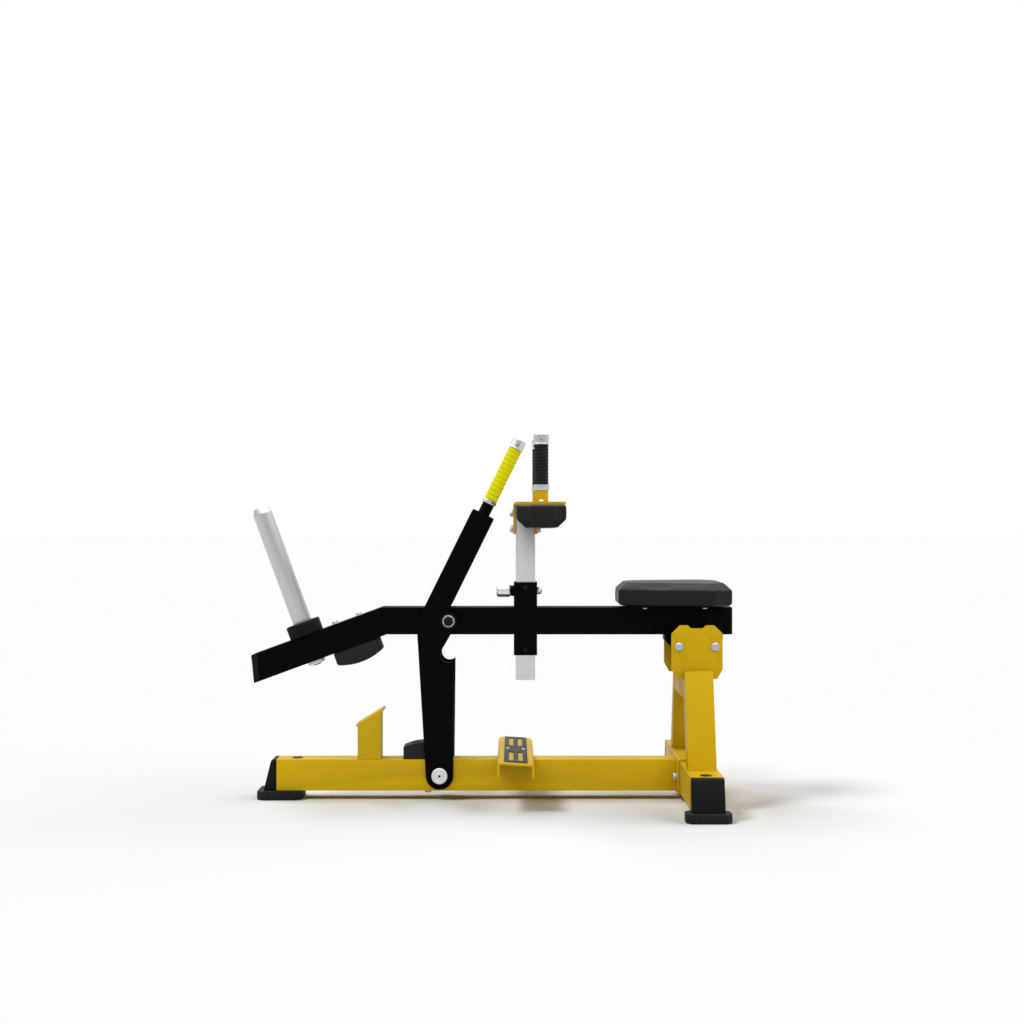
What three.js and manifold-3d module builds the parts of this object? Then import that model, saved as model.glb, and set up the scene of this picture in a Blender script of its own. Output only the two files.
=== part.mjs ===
// Seated calf raise machine: a floor frame with an A-shaped stand, a lever that turns on a shaft at
// the top of the stand, a catch arm that holds the lever up, and a thigh pad on a sliding post.
// Millimetres. X runs along the machine from the weight horn to the seat, Y across it, Z up.
// Distances "ahead" are measured from the lever's pivot axis towards the weight horn.
import * as THREE from 'three';
import { mergeVertices } from 'three/addons/utils/BufferGeometryUtils.js';
import Module from 'manifold-3d';

const wasm = await Module();
wasm.setup();

// Clearances and shared values
const gap = 0.3;
const boltGap = 0.4;
const overrun = 3;
const weldDistance = 0.0005;
const fineSides = 32;
const sides = 20;
const boltSides = 12;
const hexSides = 6;

// Floor frame
const footHeight = 22.2;
const footCorner = 12;
const footGrooveWidth = 3;
const footGrooveDepth = 1.2;
const footGrooveShare = 0.22;
const footLead = 16;
const frontFootLength = 116;
const frontFootWidth = 90;
const rearFootLength = 110;
const rearFootDepth = 57;
const baseLength = 1028;
const baseWidth = 60;
const baseHeight = 80;
const tubeWall = 3;
const crossWidth = 80;
const crossHeight = 80;
const crossLength = 553;
const capTopReach = 14.5;
const capBottomReach = 33.5;
const capChamfer = 4;
const capSpigot = 18;
const accessHoleDiameter = 24.6;
const frontHoleInset = 50;
const rearHoleInset = 23.5;
const saddleThick = 6;
const saddleWidth = 122;
const saddleReach = 48;
const saddleBend = 9;
const saddleHang = 3.5;
const saddleBoltSpacing = 96;
const saddleBoltRise = 39.5;
const saddleBoltDiameter = 12;
const saddleBoltFlats = 19;
const saddleBoltHead = 9;
const saddleBoltLength = 22;

// Stand
const pivotHeight = 398;
const postWidth = 71;
const postThick = 40;
const postLean = 15.2;
const postWall = 3;
const postLap = 21.2;
const postTopLand = 38;
const bridgeHeight = 47.5;
const plateHalfLength = 64.8;
const plateRise = 54.5;
const plateDrop = 81.2;
const plateThick = 6;
const plateOuterWidth = 180;
const plateTopChamfer = 21;
const plateNotchTop = 45.6;
const plateNotchBottom = 30;
const plateNotchDepth = 7.6;
const plateFootChamferLength = 13.5;
const plateFootChamferHeight = 24.5;
const bearingBoltSpacing = 91;
const bearingBoltDiameter = 12;
const bearingHeadDiameter = 24;
const bearingHeadHeight = 7;
const bearingNutFlats = 18;
const bearingNutHeight = 9;
const bearingFlange = 12;
const bearingFlangeEar = 12;
const bearingDepth = 30;
const bearingDiameter = 60;
const shaftDiameter = 25;

// Stops and foot plate on the base beam
const stopBeforeCatch = 181.5;
const stopLength = 60;
const stopTop = 110;
const stopLean = 31.5;
const stopPlateLength = 82;
const stopPlateThick = 6;
const bumperLength = 123.5;
const bumperWidth = 56;
const bumperSide = 31;
const bumperHeight = 44;
const bumperArcSteps = 12;
const armBumperBeforeCatch = 31.7;
const bumperBoltDiameter = 10;
const bumperBoltHead = 7;
const bumperBoltFlats = 15;
const footPlateAhead = 459;
const footPlateLength = 92;
const footPlateWidth = 408;
const footPlateThick = 6;
const footPlateRise = 20.5;
const footPlateSkirt = 38;
const footPlateTilt = 3.6;
const footPlateBend = 10;
const bendSteps = 5;
const footPlateSlotClear = 0.8;
const treadThick = 2.5;
const treadLength = 58;
const treadWidth = 386;
const treadSlotLength = 126;
const treadSlotWidth = 12;
const treadSlotMiddle = 112;

// Lever
const leverWidth = 60;
const leverTall = 70;
const leverAbovePivot = 26.4;
const leverBehind = 93.3;
const leverBendAhead = 803.5;
const leverBend = 20.2;
const leverSlopeLength = 343;
const leverEndLean = 5.6;
const leverFrontCapThick = 15;
const leverRearCapThick = 5;
const lugWidth = 50;
const lugHalfLength = 75;
const lugWall = 15;
const lugDepth = 52;
const lugChamfer = 37;
const hornDiameter = 49;
const hornLength = 349;
const hornAlongShare = 0.612;
const hornTipChamfer = 6;
const hornTipTaper = 16;
const hornStudEnd = 3;
const collarDiameter = 89;
const collarHeight = 33.6;
const hornStudDiameter = 24;
const hornNutFlats = 40;
const hornNutHeight = 9;
const leverBumperAlongShare = 0.284;
const leverBumperBoltSpacing = 64;

// Seat
const seatFrontAhead = 196.5;
const seatWidestBehind = 41.5;
const seatRearBehind = 89.5;
const seatFrontWidth = 122;
const seatWidestWidth = 224;
const seatRearWidth = 170;
const seatThick = 61.5;
const seatBevel = 19;
const seatFootBevel = 5;
const seatCrown = 3;
const seatBracketThick = 6;
const seatBracketFrontAhead = 178;
const seatBracketRearBehind = 52;
const seatBracketWidth = 124;
const seatBoardThick = 9;
const seatBoardInset = 18;
const seatBoltFrontAhead = 127.5;
const seatBoltRearBehind = 25;
const seatBoltSpread = 90;
const seatBoltDiameter = 8;
const seatBoltHeadDiameter = 14;
const seatBoltHeadHeight = 5;

// Catch arm
const catchAhead = 654.5;
const catchRollerReach = 23.2;
const catchRollerDiameter = 41;
const catchNotchClearance = 0.5;
const catchNotchSpacing = 85.5;
const catchNotchTip = 36;
const catchNotchMouth = 60;
const catchPlateThick = 6;
const catchSideGap = 8;
const catchFootRadius = 35;
const catchLowerLean = 3.3;
const catchHookReach = 41;
const catchHookRise = 20.3;
const catchUpperLean = 26.3;
const catchUpperWidth = 60;
const catchUpperLength = 266;
const catchShoulderBack = 28.4;
const catchShoulderRise = 37;
const catchThroatRise = 18;
const catchBackReach = 60;
const catchBackDrop = 14;
const catchBackStep = 3;
const catchBackRun = 19;
const catchHookStep = 3;
const catchWebInset = 4;
const catchUpperCorner = 6;
const catchAxleDiameter = 25;
const catchAxleCapDiameter = 41;
const catchAxleCapThick = 4;
const catchSpacerDiameter = 50;
const catchWebThick = 6;
const catchWebLow = 95;
const catchWebHigh = 228;
const catchHeadLength = 78;
const catchHeadWall = 5;
const catchBoltDiameter = 16;
const catchBoltFlats = 21;
const catchBoltHead = 7;
const catchRimDiameter = 32;
const catchRimThick = 3;
const catchBushDiameter = 52;
const catchBushReach = 6.8;
const catchSleeveDiameter = 28;

// Handles and grips
const catchHandleDiameter = 31;
const catchHandleStub = 29;
const catchHandleInside = 55;
const catchGripDiameter = 34.5;
const catchGripLength = 147;
const catchRingDiameter = 37;
const gripRingLength = 10;
const gripCapLength = 26;
const catchCapDiameter = 38;
const gripCoreDiameter = 26;
const gripEdge = 2;
const padHandleSpread = 284;
const padHandleDiameter = 35.6;
const padHandleStub = 28;
const padRingLength = 14;
const padRingDiameter = 40;
const padGripDiameter = 36.5;
const padGripLength = 99.6;
const padCapDiameter = 40;
const padCapLength = 25.5;

// Thigh-pad post and sleeve
const padPostBehindCatch = 220.75;
const padPostSize = 50;
const padPostWall = 3;
const padPostDrop = 91.4;
const padPostTop = 359.6;
const sleeveSize = 60;
const sleeveClearance = 0.4;
const sleeveAboveBeam = 64;
const sleeveBelowBeam = 53.5;
const pinRise = 137.5;
const pinDiameter = 12;
const pinHolePitch = 25;
const pinHolesEachWay = 4;
const pinHoleDiameter = 13;
const pinHousingDiameter = 28;
const pinHousingLength = 9;
const knobDiameter = 33;
const knobLength = 35.8;
const knobEdge = 3;
const clampBossDiameter = 16;
const clampBossLength = 13;
const bracketThick = 6;
const bracketTopThick = 7.5;
const bracketLength = 129;
const bracketWidth = 380;
const bracketCheekDrop = 75;
const bracketCheekWidth = 60;
const bracketBoltDiameter = 12;
const bracketBoltFlats = 18;
const bracketBoltHead = 8;
const bracketBoltUpper = 21;
const bracketBoltLower = 62;
const padLength = 187;
const padInner = 38;
const padWide = 120.5;
const padLead = 9;
const padThick = 58;
const padBevel = 20;
const padTopBevel = 4;
const padCrown = 2;
const padNoseDepth = 18;
const padNoseShare = 0.45;

// Upholstery outlines
const cushionStep = 14;
const cushionDraw = 1.5;
const cushionCrownShares = [0.9, 0.72, 0.5, 0.26];

// Heights and stations that follow from the sizes above
const baseBottom = footHeight + gap;
const baseTop = baseBottom + baseHeight;
const crossTop = baseBottom + crossHeight;
const crossFront = -crossWidth / 2;
const saddleFront = crossFront - gap - saddleThick;
const baseRear = saddleFront - gap;
const baseFront = baseRear - baseLength;
const plateBottom = pivotHeight - plateDrop;
const plateInner = plateOuterWidth / 2 - plateThick;
const plateOuter = plateOuterWidth / 2;
const leverBottom = pivotHeight + leverAbovePivot;
const leverTop = leverBottom + leverTall;
const hornAlong = leverSlopeLength * hornAlongShare;
const leverBumperAlong = leverSlopeLength * leverBumperAlongShare;
const catchX = -catchAhead;
const stopAhead = catchAhead + stopBeforeCatch;
const armBumperAhead = catchAhead + armBumperBeforeCatch;
const catchPivotHeight = baseBottom + baseHeight / 2;
const catchInner = leverWidth / 2 + catchSideGap;
const catchOuter = catchInner + catchPlateThick;
const rollerX = catchX + catchRollerReach;
const rollerHeight = leverBottom + leverTall / 2;
const padPostX = catchX + padPostBehindCatch;
const padPostBottom = pivotHeight - padPostDrop;
const bracketUnder = pivotHeight + padPostTop;
const pinHeight = pivotHeight + pinRise;
const seatBottom = leverTop + gap + seatBracketThick + gap;

const radians = (degrees) => THREE.MathUtils.degToRad(degrees);

// Solids from closed geometries
function outwardVolume(positions, corners) {
  const a = new THREE.Vector3();
  const b = new THREE.Vector3();
  const c = new THREE.Vector3();
  let volume = 0;
  for (let i = 0; i < corners.length; i += 3) {
    a.fromArray(positions, corners[i] * 3);
    b.fromArray(positions, corners[i + 1] * 3);
    c.fromArray(positions, corners[i + 2] * 3);
    volume += a.dot(b.cross(c));
  }
  return volume;
}

function solidFrom(geometry) {
  const bare = geometry.clone();
  bare.deleteAttribute('normal');
  bare.deleteAttribute('uv');
  const merged = mergeVertices(bare, weldDistance);
  const index = merged.index.array;
  const corners = [];
  for (let i = 0; i < index.length; i += 3) {
    const [a, b, c] = [index[i], index[i + 1], index[i + 2]];
    if (a !== b && b !== c && c !== a) corners.push(a, b, c);
  }
  const positions = merged.attributes.position.array;
  if (outwardVolume(positions, corners) < 0) corners.reverse();
  return new wasm.Manifold(new wasm.Mesh({
    numProp: 3,
    vertProperties: new Float32Array(positions),
    triVerts: new Uint32Array(corners),
  }));
}

function geometryFrom(solid) {
  const mesh = solid.getMesh();
  const geometry = new THREE.BufferGeometry();
  geometry.setAttribute('position', new THREE.BufferAttribute(new Float32Array(mesh.vertProperties), 3));
  geometry.setIndex(new THREE.BufferAttribute(new Uint32Array(mesh.triVerts), 1));
  return geometry;
}

const join = (...geometries) => geometryFrom(
  geometries.map(solidFrom).reduce((whole, part) => whole.add(part)));

const cut = (geometry, ...tools) => geometryFrom(
  tools.map(solidFrom).reduce((whole, tool) => whole.subtract(tool), solidFrom(geometry)));

// Basic shapes, each placed in the machine's own axes
function box(x0, x1, y0, y1, z0, z1) {
  const shape = new THREE.BoxGeometry(x1 - x0, y1 - y0, z1 - z0);
  return shape.translate((x0 + x1) / 2, (y0 + y1) / 2, (z0 + z1) / 2);
}

function extrudeOutline(points, depth) {
  const shape = new THREE.Shape(points.map(([a, b]) => new THREE.Vector2(a, b)));
  return new THREE.ExtrudeGeometry(shape, { depth, bevelEnabled: false, steps: 1 });
}

// An outline in X and Z, made solid from y0 to y1
function sideShape(points, y0, y1) {
  return extrudeOutline(points, y1 - y0).rotateX(Math.PI / 2).translate(0, y1, 0);
}

// An outline in Y and Z, made solid from x0 to x1
function endShape(points, x0, x1) {
  return extrudeOutline(points, x1 - x0).rotateX(Math.PI / 2).rotateZ(Math.PI / 2).translate(x0, 0, 0);
}

// An outline in X and Y, made solid from z0 to z1
function flatShape(points, z0, z1) {
  return extrudeOutline(points, z1 - z0).translate(0, 0, z0);
}

// A turned piece: its profile gives distance along the axis and radius
function turned(axis, at, profile, count = sides) {
  const outline = profile.map(([along, radius]) => new THREE.Vector2(radius, along));
  const shape = new THREE.LatheGeometry(outline, count);
  if (axis === 'x') shape.rotateZ(-Math.PI / 2);
  if (axis === 'z') shape.rotateX(Math.PI / 2);
  return shape.translate(...at);
}

function rod(axis, at, diameter, from, to, count = sides) {
  const radius = diameter / 2;
  return turned(axis, at, [[from, 0], [from, radius], [to, radius], [to, 0]], count);
}

function hexRod(axis, at, flats, from, to) {
  return rod(axis, at, flats / Math.cos(Math.PI / hexSides), from, to, hexSides);
}

function dome(axis, at, diameter, from, to, count = sides) {
  const radius = diameter / 2;
  const rimShare = 0.72;
  const brimShare = 0.35;
  const brim = from + (to - from) * brimShare;
  return turned(axis, at, [
    [from, 0], [from, radius], [brim, radius], [to, radius * rimShare], [to, 0],
  ], count);
}

const span = (a, b) => [Math.min(a, b), Math.max(a, b)];
const bothSides = [[-1, 'near'], [1, 'far']];

function arcPoints(x, z, radius, fromDegrees, toDegrees, steps) {
  const points = [];
  for (let i = 0; i <= steps; i += 1) {
    const angle = radians(fromDegrees + (toDegrees - fromDegrees) * i / steps);
    points.push([x + radius * Math.cos(angle), z + radius * Math.sin(angle)]);
  }
  return points;
}

// Finishes: colour, roughness and metalness
const finishes = {
  yellowPaint: ['#f2b705', 0.42, 0],
  blackPaint: ['#0c0c0d', 0.45, 0],
  blackPlastic: ['#1f2020', 0.6, 0],
  rubber: ['#141414', 0.8, 0],
  vinyl: ['#262728', 0.55, 0],
  chrome: ['#c9c9c9', 0.18, 1],
  steel: ['#b4b4b6', 0.35, 1],
  darkSteel: ['#33343a', 0.4, 1],
  yellowGrip: ['#e6e012', 0.65, 0],
  blackGrip: ['#1b1b1b', 0.7, 0],
  treadRubber: ['#3c3d3d', 0.75, 0],
};

const machine = new THREE.Group();
const frame = new THREE.Group();
const lever = new THREE.Group();
const slope = new THREE.Group();
const catchArm = new THREE.Group();
const padSlide = new THREE.Group();
machine.add(frame, lever, catchArm, padSlide);
lever.add(slope);

function add(group, name, finish, geometry) {
  const [color, roughness, metalness] = finishes[finish];
  const material = new THREE.MeshStandardMaterial({ color, roughness, metalness });
  const mesh = new THREE.Mesh(geometry, material);
  mesh.name = name;
  group.add(mesh);
}

// A foot: a block with cut corners and upright grooves in its two long sides
function footBlock(x0, x1, y0, y1) {
  const c = footCorner;
  const outline = [
    [x0 + c, y0], [x1 - c, y0], [x1, y0 + c], [x1, y1 - c],
    [x1 - c, y1], [x0 + c, y1], [x0, y1 - c], [x0, y0 + c],
  ];
  const grooves = [];
  for (const side of [-1, 1]) {
    const middle = (x0 + x1) / 2 + side * (x1 - x0) * footGrooveShare;
    const left = middle - footGrooveWidth / 2;
    const right = middle + footGrooveWidth / 2;
    grooves.push(box(left, right, y0 - overrun, y0 + footGrooveDepth, -overrun, footHeight + overrun));
    grooves.push(box(left, right, y1 - footGrooveDepth, y1 + overrun, -overrun, footHeight + overrun));
  }
  return cut(flatShape(outline, 0, footHeight), ...grooves);
}

// The side view of a wedge-shaped end cap: `end` is the tube's end and `out` points away from it
function capOutline(end, out, bottom, top) {
  return [
    [end + out * gap, bottom],
    [end + out * gap, top],
    [end + out * (capTopReach - capChamfer), top],
    [end + out * capTopReach, top - capChamfer],
    [end + out * capBottomReach, bottom],
  ];
}

// The foot bolts are reached through holes in the top walls of the tubes
const accessHole = (x, y, top) => rod(
  'z', [x, y, 0], accessHoleDiameter, top - tubeWall - overrun, top + overrun);

// Base beam, its front cap and foot
function buildBase() {
  const half = baseWidth / 2;
  const inner = half - tubeWall;
  const holeX = baseFront + frontHoleInset;
  const boltHole = bumperBoltDiameter + 2 * boltGap;
  add(frame, 'base_beam', 'yellowPaint', cut(
    box(baseFront, baseRear, -half, half, baseBottom, baseTop),
    box(baseFront - overrun, baseRear + overrun, -inner, inner, baseBottom + tubeWall, baseTop - tubeWall),
    accessHole(holeX, 0, baseTop),
    rod('y', [catchX, 0, catchPivotHeight], catchAxleDiameter + 2 * gap, -half - overrun, half + overrun),
    rod('z', [-armBumperAhead, 0, 0], boltHole, baseBottom - overrun, baseTop + overrun, boltSides),
  ));
  add(frame, 'base_front_cap', 'blackPlastic', join(
    sideShape(capOutline(baseFront, -1, baseBottom, baseTop), -half, half),
    box(baseFront - overrun, baseFront + capSpigot, gap - inner, inner - gap,
      baseBottom + tubeWall + gap, baseTop - tubeWall - gap),
  ));
  const footFront = baseFront - capBottomReach - footLead;
  add(frame, 'front_foot', 'rubber', footBlock(
    footFront, footFront + frontFootLength, -frontFootWidth / 2, frontFootWidth / 2));
}

// Cross member with its caps and feet
function buildCrossMember() {
  const halfX = crossWidth / 2;
  const halfY = crossLength / 2;
  const inner = halfX - tubeWall;
  const holeY = halfY - rearHoleInset;
  const boltHole = saddleBoltDiameter + 2 * boltGap;
  const boltHeight = baseBottom + saddleBoltRise;
  const boltCuts = [-1, 1].map((side) => rod(
    'x', [0, side * saddleBoltSpacing / 2, boltHeight], boltHole,
    crossFront - overrun, crossFront + tubeWall + overrun, boltSides));
  add(frame, 'cross_member', 'yellowPaint', cut(
    box(-halfX, halfX, -halfY, halfY, baseBottom, crossTop),
    box(-inner, inner, -halfY - overrun, halfY + overrun, baseBottom + tubeWall, crossTop - tubeWall),
    accessHole(0, -holeY, crossTop),
    accessHole(0, holeY, crossTop),
    ...boltCuts,
  ));
  const outer = halfY + capBottomReach + footLead;
  for (const [side, where] of bothSides) {
    add(frame, `cross_cap_${where}`, 'blackPlastic', join(
      endShape(capOutline(side * halfY, side, baseBottom, crossTop), -halfX, halfX),
      box(gap - inner, inner - gap, ...span(side * (halfY + overrun), side * (halfY - capSpigot)),
        baseBottom + tubeWall + gap, crossTop - tubeWall - gap),
    ));
    add(frame, `rear_foot_${where}`, 'rubber', footBlock(
      -rearFootLength / 2, rearFootLength / 2, ...span(side * outer, side * (outer - rearFootDepth))));
  }
}

// Bent plate that laps over the cross member, and the two bolts that hold it there
function buildSaddle() {
  const top = crossTop + gap + saddleThick;
  const bottom = baseBottom - saddleHang;
  const back = crossFront + saddleReach;
  const boltHeight = baseBottom + saddleBoltRise;
  const outline = [
    [saddleFront, bottom],
    ...arcPoints(saddleFront + saddleBend, top - saddleBend, saddleBend, 180, 90, 6),
    [back, top], [back, top - saddleThick],
    [crossFront - gap, top - saddleThick], [crossFront - gap, bottom],
  ];
  const seat = saddleFront - gap;
  const places = bothSides.map(([side]) => [0, side * saddleBoltSpacing / 2, boltHeight]);
  add(frame, 'saddle_plate', 'yellowPaint', cut(
    sideShape(outline, -saddleWidth / 2, saddleWidth / 2),
    ...places.map((at) => rod('x', at, saddleBoltDiameter + 2 * boltGap,
      saddleFront - overrun, crossFront + overrun, boltSides)),
  ));
  bothSides.forEach(([, where], i) => add(frame, `saddle_bolt_${where}`, 'steel', join(
    hexRod('x', places[i], saddleBoltFlats, seat - saddleBoltHead, seat),
    rod('x', places[i], saddleBoltDiameter, seat - saddleBoltHead / 2, seat + saddleBoltLength, boltSides),
  )));
}

// Stand: two leaning posts, the bridge between them and the two plates that hold the bearings
function buildStand() {
  const slopeShare = Math.tan(radians(postLean));
  const level = postThick / Math.cos(radians(postLean));
  const wall = postWall / Math.cos(radians(postLean));
  const top = plateBottom + postLap;
  const foot = crossTop + gap;
  const outerAt = (z) => plateOuter + postTopLand + (top - z) * slopeShare;
  const innerAt = (z) => outerAt(z) - level;
  const face = plateOuter + gap;
  const meet = top - (face + level - outerAt(top)) / slopeShare;
  const outline = [
    [outerAt(foot), foot], [outerAt(top), top], [face, top], [face, meet], [innerAt(foot), foot],
  ];
  const low = foot - overrun;
  const hollow = [
    [outerAt(low) - wall, low], [outerAt(plateBottom) - wall, plateBottom],
    [innerAt(plateBottom) + wall, plateBottom], [innerAt(low) + wall, low],
  ];
  const half = postWidth / 2;
  const inside = half - postWall;
  for (const [side, where] of bothSides) {
    const facing = (points) => points.map(([y, z]) => [side * y, z]);
    add(frame, `stand_post_${where}`, 'yellowPaint', cut(
      endShape(facing(outline), -half, half),
      endShape(facing(hollow), -inside, inside),
    ));
  }
  const bridgeTop = plateBottom - gap;
  const bridgeBottom = bridgeTop - bridgeHeight;
  const bridgeEnd = (z) => innerAt(z) - gap;
  add(frame, 'stand_bridge', 'yellowPaint', cut(
    endShape([
      [-bridgeEnd(bridgeBottom), bridgeBottom], [bridgeEnd(bridgeBottom), bridgeBottom],
      [bridgeEnd(bridgeTop), bridgeTop], [-bridgeEnd(bridgeTop), bridgeTop],
    ], -half, half),
    box(-inside, inside, -bridgeEnd(bridgeBottom) - overrun, bridgeEnd(bridgeBottom) + overrun,
      bridgeBottom + postWall, bridgeTop - postWall),
  ));
}

function pivotPlateOutline() {
  const end = plateHalfLength;
  const top = pivotHeight + plateRise;
  const right = [
    [end - plateFootChamferLength, plateBottom], [end, plateBottom + plateFootChamferHeight],
    [end, top - plateTopChamfer], [end - plateTopChamfer, top],
    [plateNotchTop / 2, top], [plateNotchBottom / 2, top - plateNotchDepth],
  ];
  const left = right.map(([x, z]) => [-x, z]).reverse();
  return [...right, ...left];
}

// Plates on the bridge, and the flanged bearings with the bolts that hold them to the plates
function buildBearings() {
  const places = [-bearingBoltSpacing / 2, bearingBoltSpacing / 2];
  const hole = bearingBoltDiameter + 2 * boltGap;
  const reach = plateOuter + overrun;
  const boltCuts = places.map((x) => rod('y', [x, 0, pivotHeight], hole, -reach, reach, boltSides));
  add(frame, 'pivot_plate_near', 'yellowPaint', cut(
    sideShape(pivotPlateOutline(), -plateOuter, -plateInner), ...boltCuts));
  add(frame, 'pivot_plate_far', 'yellowPaint', cut(
    sideShape(pivotPlateOutline(), plateInner, plateOuter), ...boltCuts));

  const boss = bearingDiameter / 2;
  const ear = bearingBoltSpacing / 2 + bearingFlangeEar;
  const earShare = 0.6;
  const shoulderShare = 0.45;
  const quarter = [[ear, bearingFlangeEar * earShare], [boss * shoulderShare, boss]];
  const rightHalf = [...quarter.map(([x, z]) => [x, -z]).reverse(), ...quarter];
  const flange = [...rightHalf, ...rightHalf.map(([x, z]) => [-x, z]).reverse()]
    .map(([x, z]) => [x, z + pivotHeight]);
  const flangeSeat = plateInner - gap;
  const headSeat = plateOuter + gap;
  const flangeEnd = flangeSeat - bearingFlange;
  const nutEnd = flangeEnd - bearingNutHeight;
  for (const [side, where] of bothSides) {
    const bolts = places.flatMap((x) => {
      const at = [x, 0, pivotHeight];
      return [
        dome('y', at, bearingHeadDiameter, side * headSeat, side * (headSeat + bearingHeadHeight)),
        rod('y', at, bearingBoltDiameter, ...span(side * (headSeat + bearingHeadHeight / 2), side * nutEnd),
          boltSides),
        hexRod('y', at, bearingNutFlats, ...span(side * flangeSeat, side * nutEnd)),
      ];
    });
    add(frame, `pivot_bearing_${where}`, 'blackPaint', cut(
      join(
        sideShape(flange, ...span(side * flangeSeat, side * flangeEnd)),
        rod('y', [0, 0, pivotHeight], bearingDiameter,
          ...span(side * flangeSeat, side * (flangeSeat - bearingDepth)), fineSides),
        ...bolts,
      ),
      rod('y', [0, 0, pivotHeight], shaftDiameter + 2 * gap, -reach, reach, fineSides),
    ));
  }
}

// Rubber bumper: a block whose free face is an arc. `up` is 1 on a beam and -1 under one
function bumperOutline(x, z, up) {
  const half = bumperLength / 2;
  const rise = bumperHeight - bumperSide;
  const radius = (half * half + rise * rise) / (2 * rise);
  const points = [[x - half, z], [x + half, z]];
  for (let i = 0; i <= bumperArcSteps; i += 1) {
    const across = half - bumperLength * i / bumperArcSteps;
    const arc = Math.sqrt(radius * radius - across * across) - (radius - rise);
    points.push([x + across, z + up * (bumperSide + arc)]);
  }
  return points;
}

// Stop post with its slanted landing plate, and the rubber bumper that stops the catch arm, which is
// moulded round its own bolt
function buildStops() {
  const lean = radians(stopLean);
  const x = -stopAhead;
  const z = baseTop + stopTop;
  const along = [Math.cos(lean) * stopPlateLength / 2, Math.sin(lean) * stopPlateLength / 2];
  const under = [Math.sin(lean) * stopPlateThick, -Math.cos(lean) * stopPlateThick];
  const plate = [
    [x - along[0], z - along[1]],
    [x + along[0], z + along[1]],
    [x + along[0] + under[0], z + along[1] + under[1]],
    [x - along[0] + under[0], z - along[1] + under[1]],
  ];
  const half = stopLength / 2;
  const halfY = baseWidth / 2;
  const inside = half - tubeWall;
  const topAt = (at, drop) => z + (at - x) * Math.tan(lean) - drop / Math.cos(lean);
  const foot = baseTop + gap;
  const skirt = (halfX, drop, bottom) => [
    [x - halfX, bottom], [x + halfX, bottom],
    [x + halfX, topAt(x + halfX, drop)], [x - halfX, topAt(x - halfX, drop)],
  ];
  add(frame, 'stop_post', 'yellowPaint', cut(
    join(sideShape(plate, -halfY, halfY), sideShape(skirt(half, stopPlateThick / 2, foot), -halfY, halfY)),
    sideShape(skirt(inside, stopPlateThick + tubeWall, foot - overrun), tubeWall - halfY, halfY - tubeWall),
  ));
  const bumperX = -armBumperAhead;
  const seat = baseBottom - gap;
  add(frame, 'arm_bumper', 'rubber', join(
    sideShape(bumperOutline(bumperX, foot, 1), -bumperWidth / 2, bumperWidth / 2),
    hexRod('z', [bumperX, 0, 0], bumperBoltFlats, seat - bumperBoltHead, seat),
    rod('z', [bumperX, 0, 0], bumperBoltDiameter, seat - bumperBoltHead / 2, foot + bumperSide / 2,
      boltSides),
  ));
}

// Foot plate: a folded plate across the base beam with a tread on top
function buildFootPlate() {
  const tilt = radians(footPlateTilt);
  const x = -footPlateAhead;
  const z = baseTop + footPlateRise;
  const half = footPlateLength / 2;
  const t = footPlateThick;
  const skirt = z - footPlateSkirt;
  const fold = (side, radius) => {
    const middle = side * (half - footPlateBend);
    const height = z - middle * Math.tan(tilt) - footPlateBend / Math.cos(tilt);
    const start = side < 0 ? 180 : 90 - footPlateTilt;
    const end = side < 0 ? 90 - footPlateTilt : 0;
    return arcPoints(x + middle, height, radius, start, end, bendSteps);
  };
  const inner = footPlateBend - t;
  const outline = [
    [x - half, skirt], ...fold(-1, footPlateBend), ...fold(1, footPlateBend), [x + half, skirt],
    [x + half - t, skirt], ...fold(1, inner).reverse(), ...fold(-1, inner).reverse(), [x - half + t, skirt],
  ];
  const slotHalf = baseWidth / 2 + footPlateSlotClear;
  const laid = (shape) => shape.rotateY(tilt).translate(x, 0, z);
  add(frame, 'foot_plate', 'yellowPaint', cut(
    sideShape(outline, -footPlateWidth / 2, footPlateWidth / 2),
    box(x - half - overrun, x + half + overrun, -slotHalf, slotHalf, skirt - overrun, baseTop + gap),
  ));
  const strip = (treadLength - 2 * treadSlotWidth) / 3;
  const slotX = (strip + treadSlotWidth) / 2;
  const slots = [];
  for (const sideX of [-1, 1]) {
    for (const sideY of [-1, 1]) {
      const left = sideX * slotX - treadSlotWidth / 2;
      const near = sideY * treadSlotMiddle - treadSlotLength / 2;
      slots.push(laid(box(left, left + treadSlotWidth, near, near + treadSlotLength,
        gap - overrun, treadThick + overrun)));
    }
  }
  add(frame, 'foot_tread', 'treadRubber', cut(
    laid(box(-treadLength / 2, treadLength / 2, -treadWidth / 2, treadWidth / 2, gap, gap + treadThick)),
    ...slots,
  ));
}

// Axle of the catch arm, its end discs and the rings that centre the arm on the base beam
function buildCatchAxle() {
  const at = [catchX, 0, catchPivotHeight];
  const end = catchOuter;
  const spacer = (side) => rod('y', at, catchSpacerDiameter,
    ...span(side * (baseWidth / 2 + gap), side * (catchInner - gap)), fineSides);
  const disc = (side) => rod('y', at, catchAxleCapDiameter,
    ...span(side * (end + gap), side * (end + gap + catchAxleCapThick)), fineSides);
  add(frame, 'catch_axle', 'chrome', join(
    rod('y', at, catchAxleDiameter, -end - gap, end + gap, fineSides),
    spacer(-1), spacer(1), disc(-1), disc(1),
  ));
}

// Lever: the bent beam. Its front part has a frame of its own, the slope group, whose origin is the
// top of the bend, whose X runs up along the beam and whose Z stands square to it
slope.position.set(-leverBendAhead, 0, leverTop);
slope.rotation.y = -radians(leverBend);
slope.updateMatrix();

const onSlope = (shape) => shape.applyMatrix4(slope.matrix);

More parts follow.
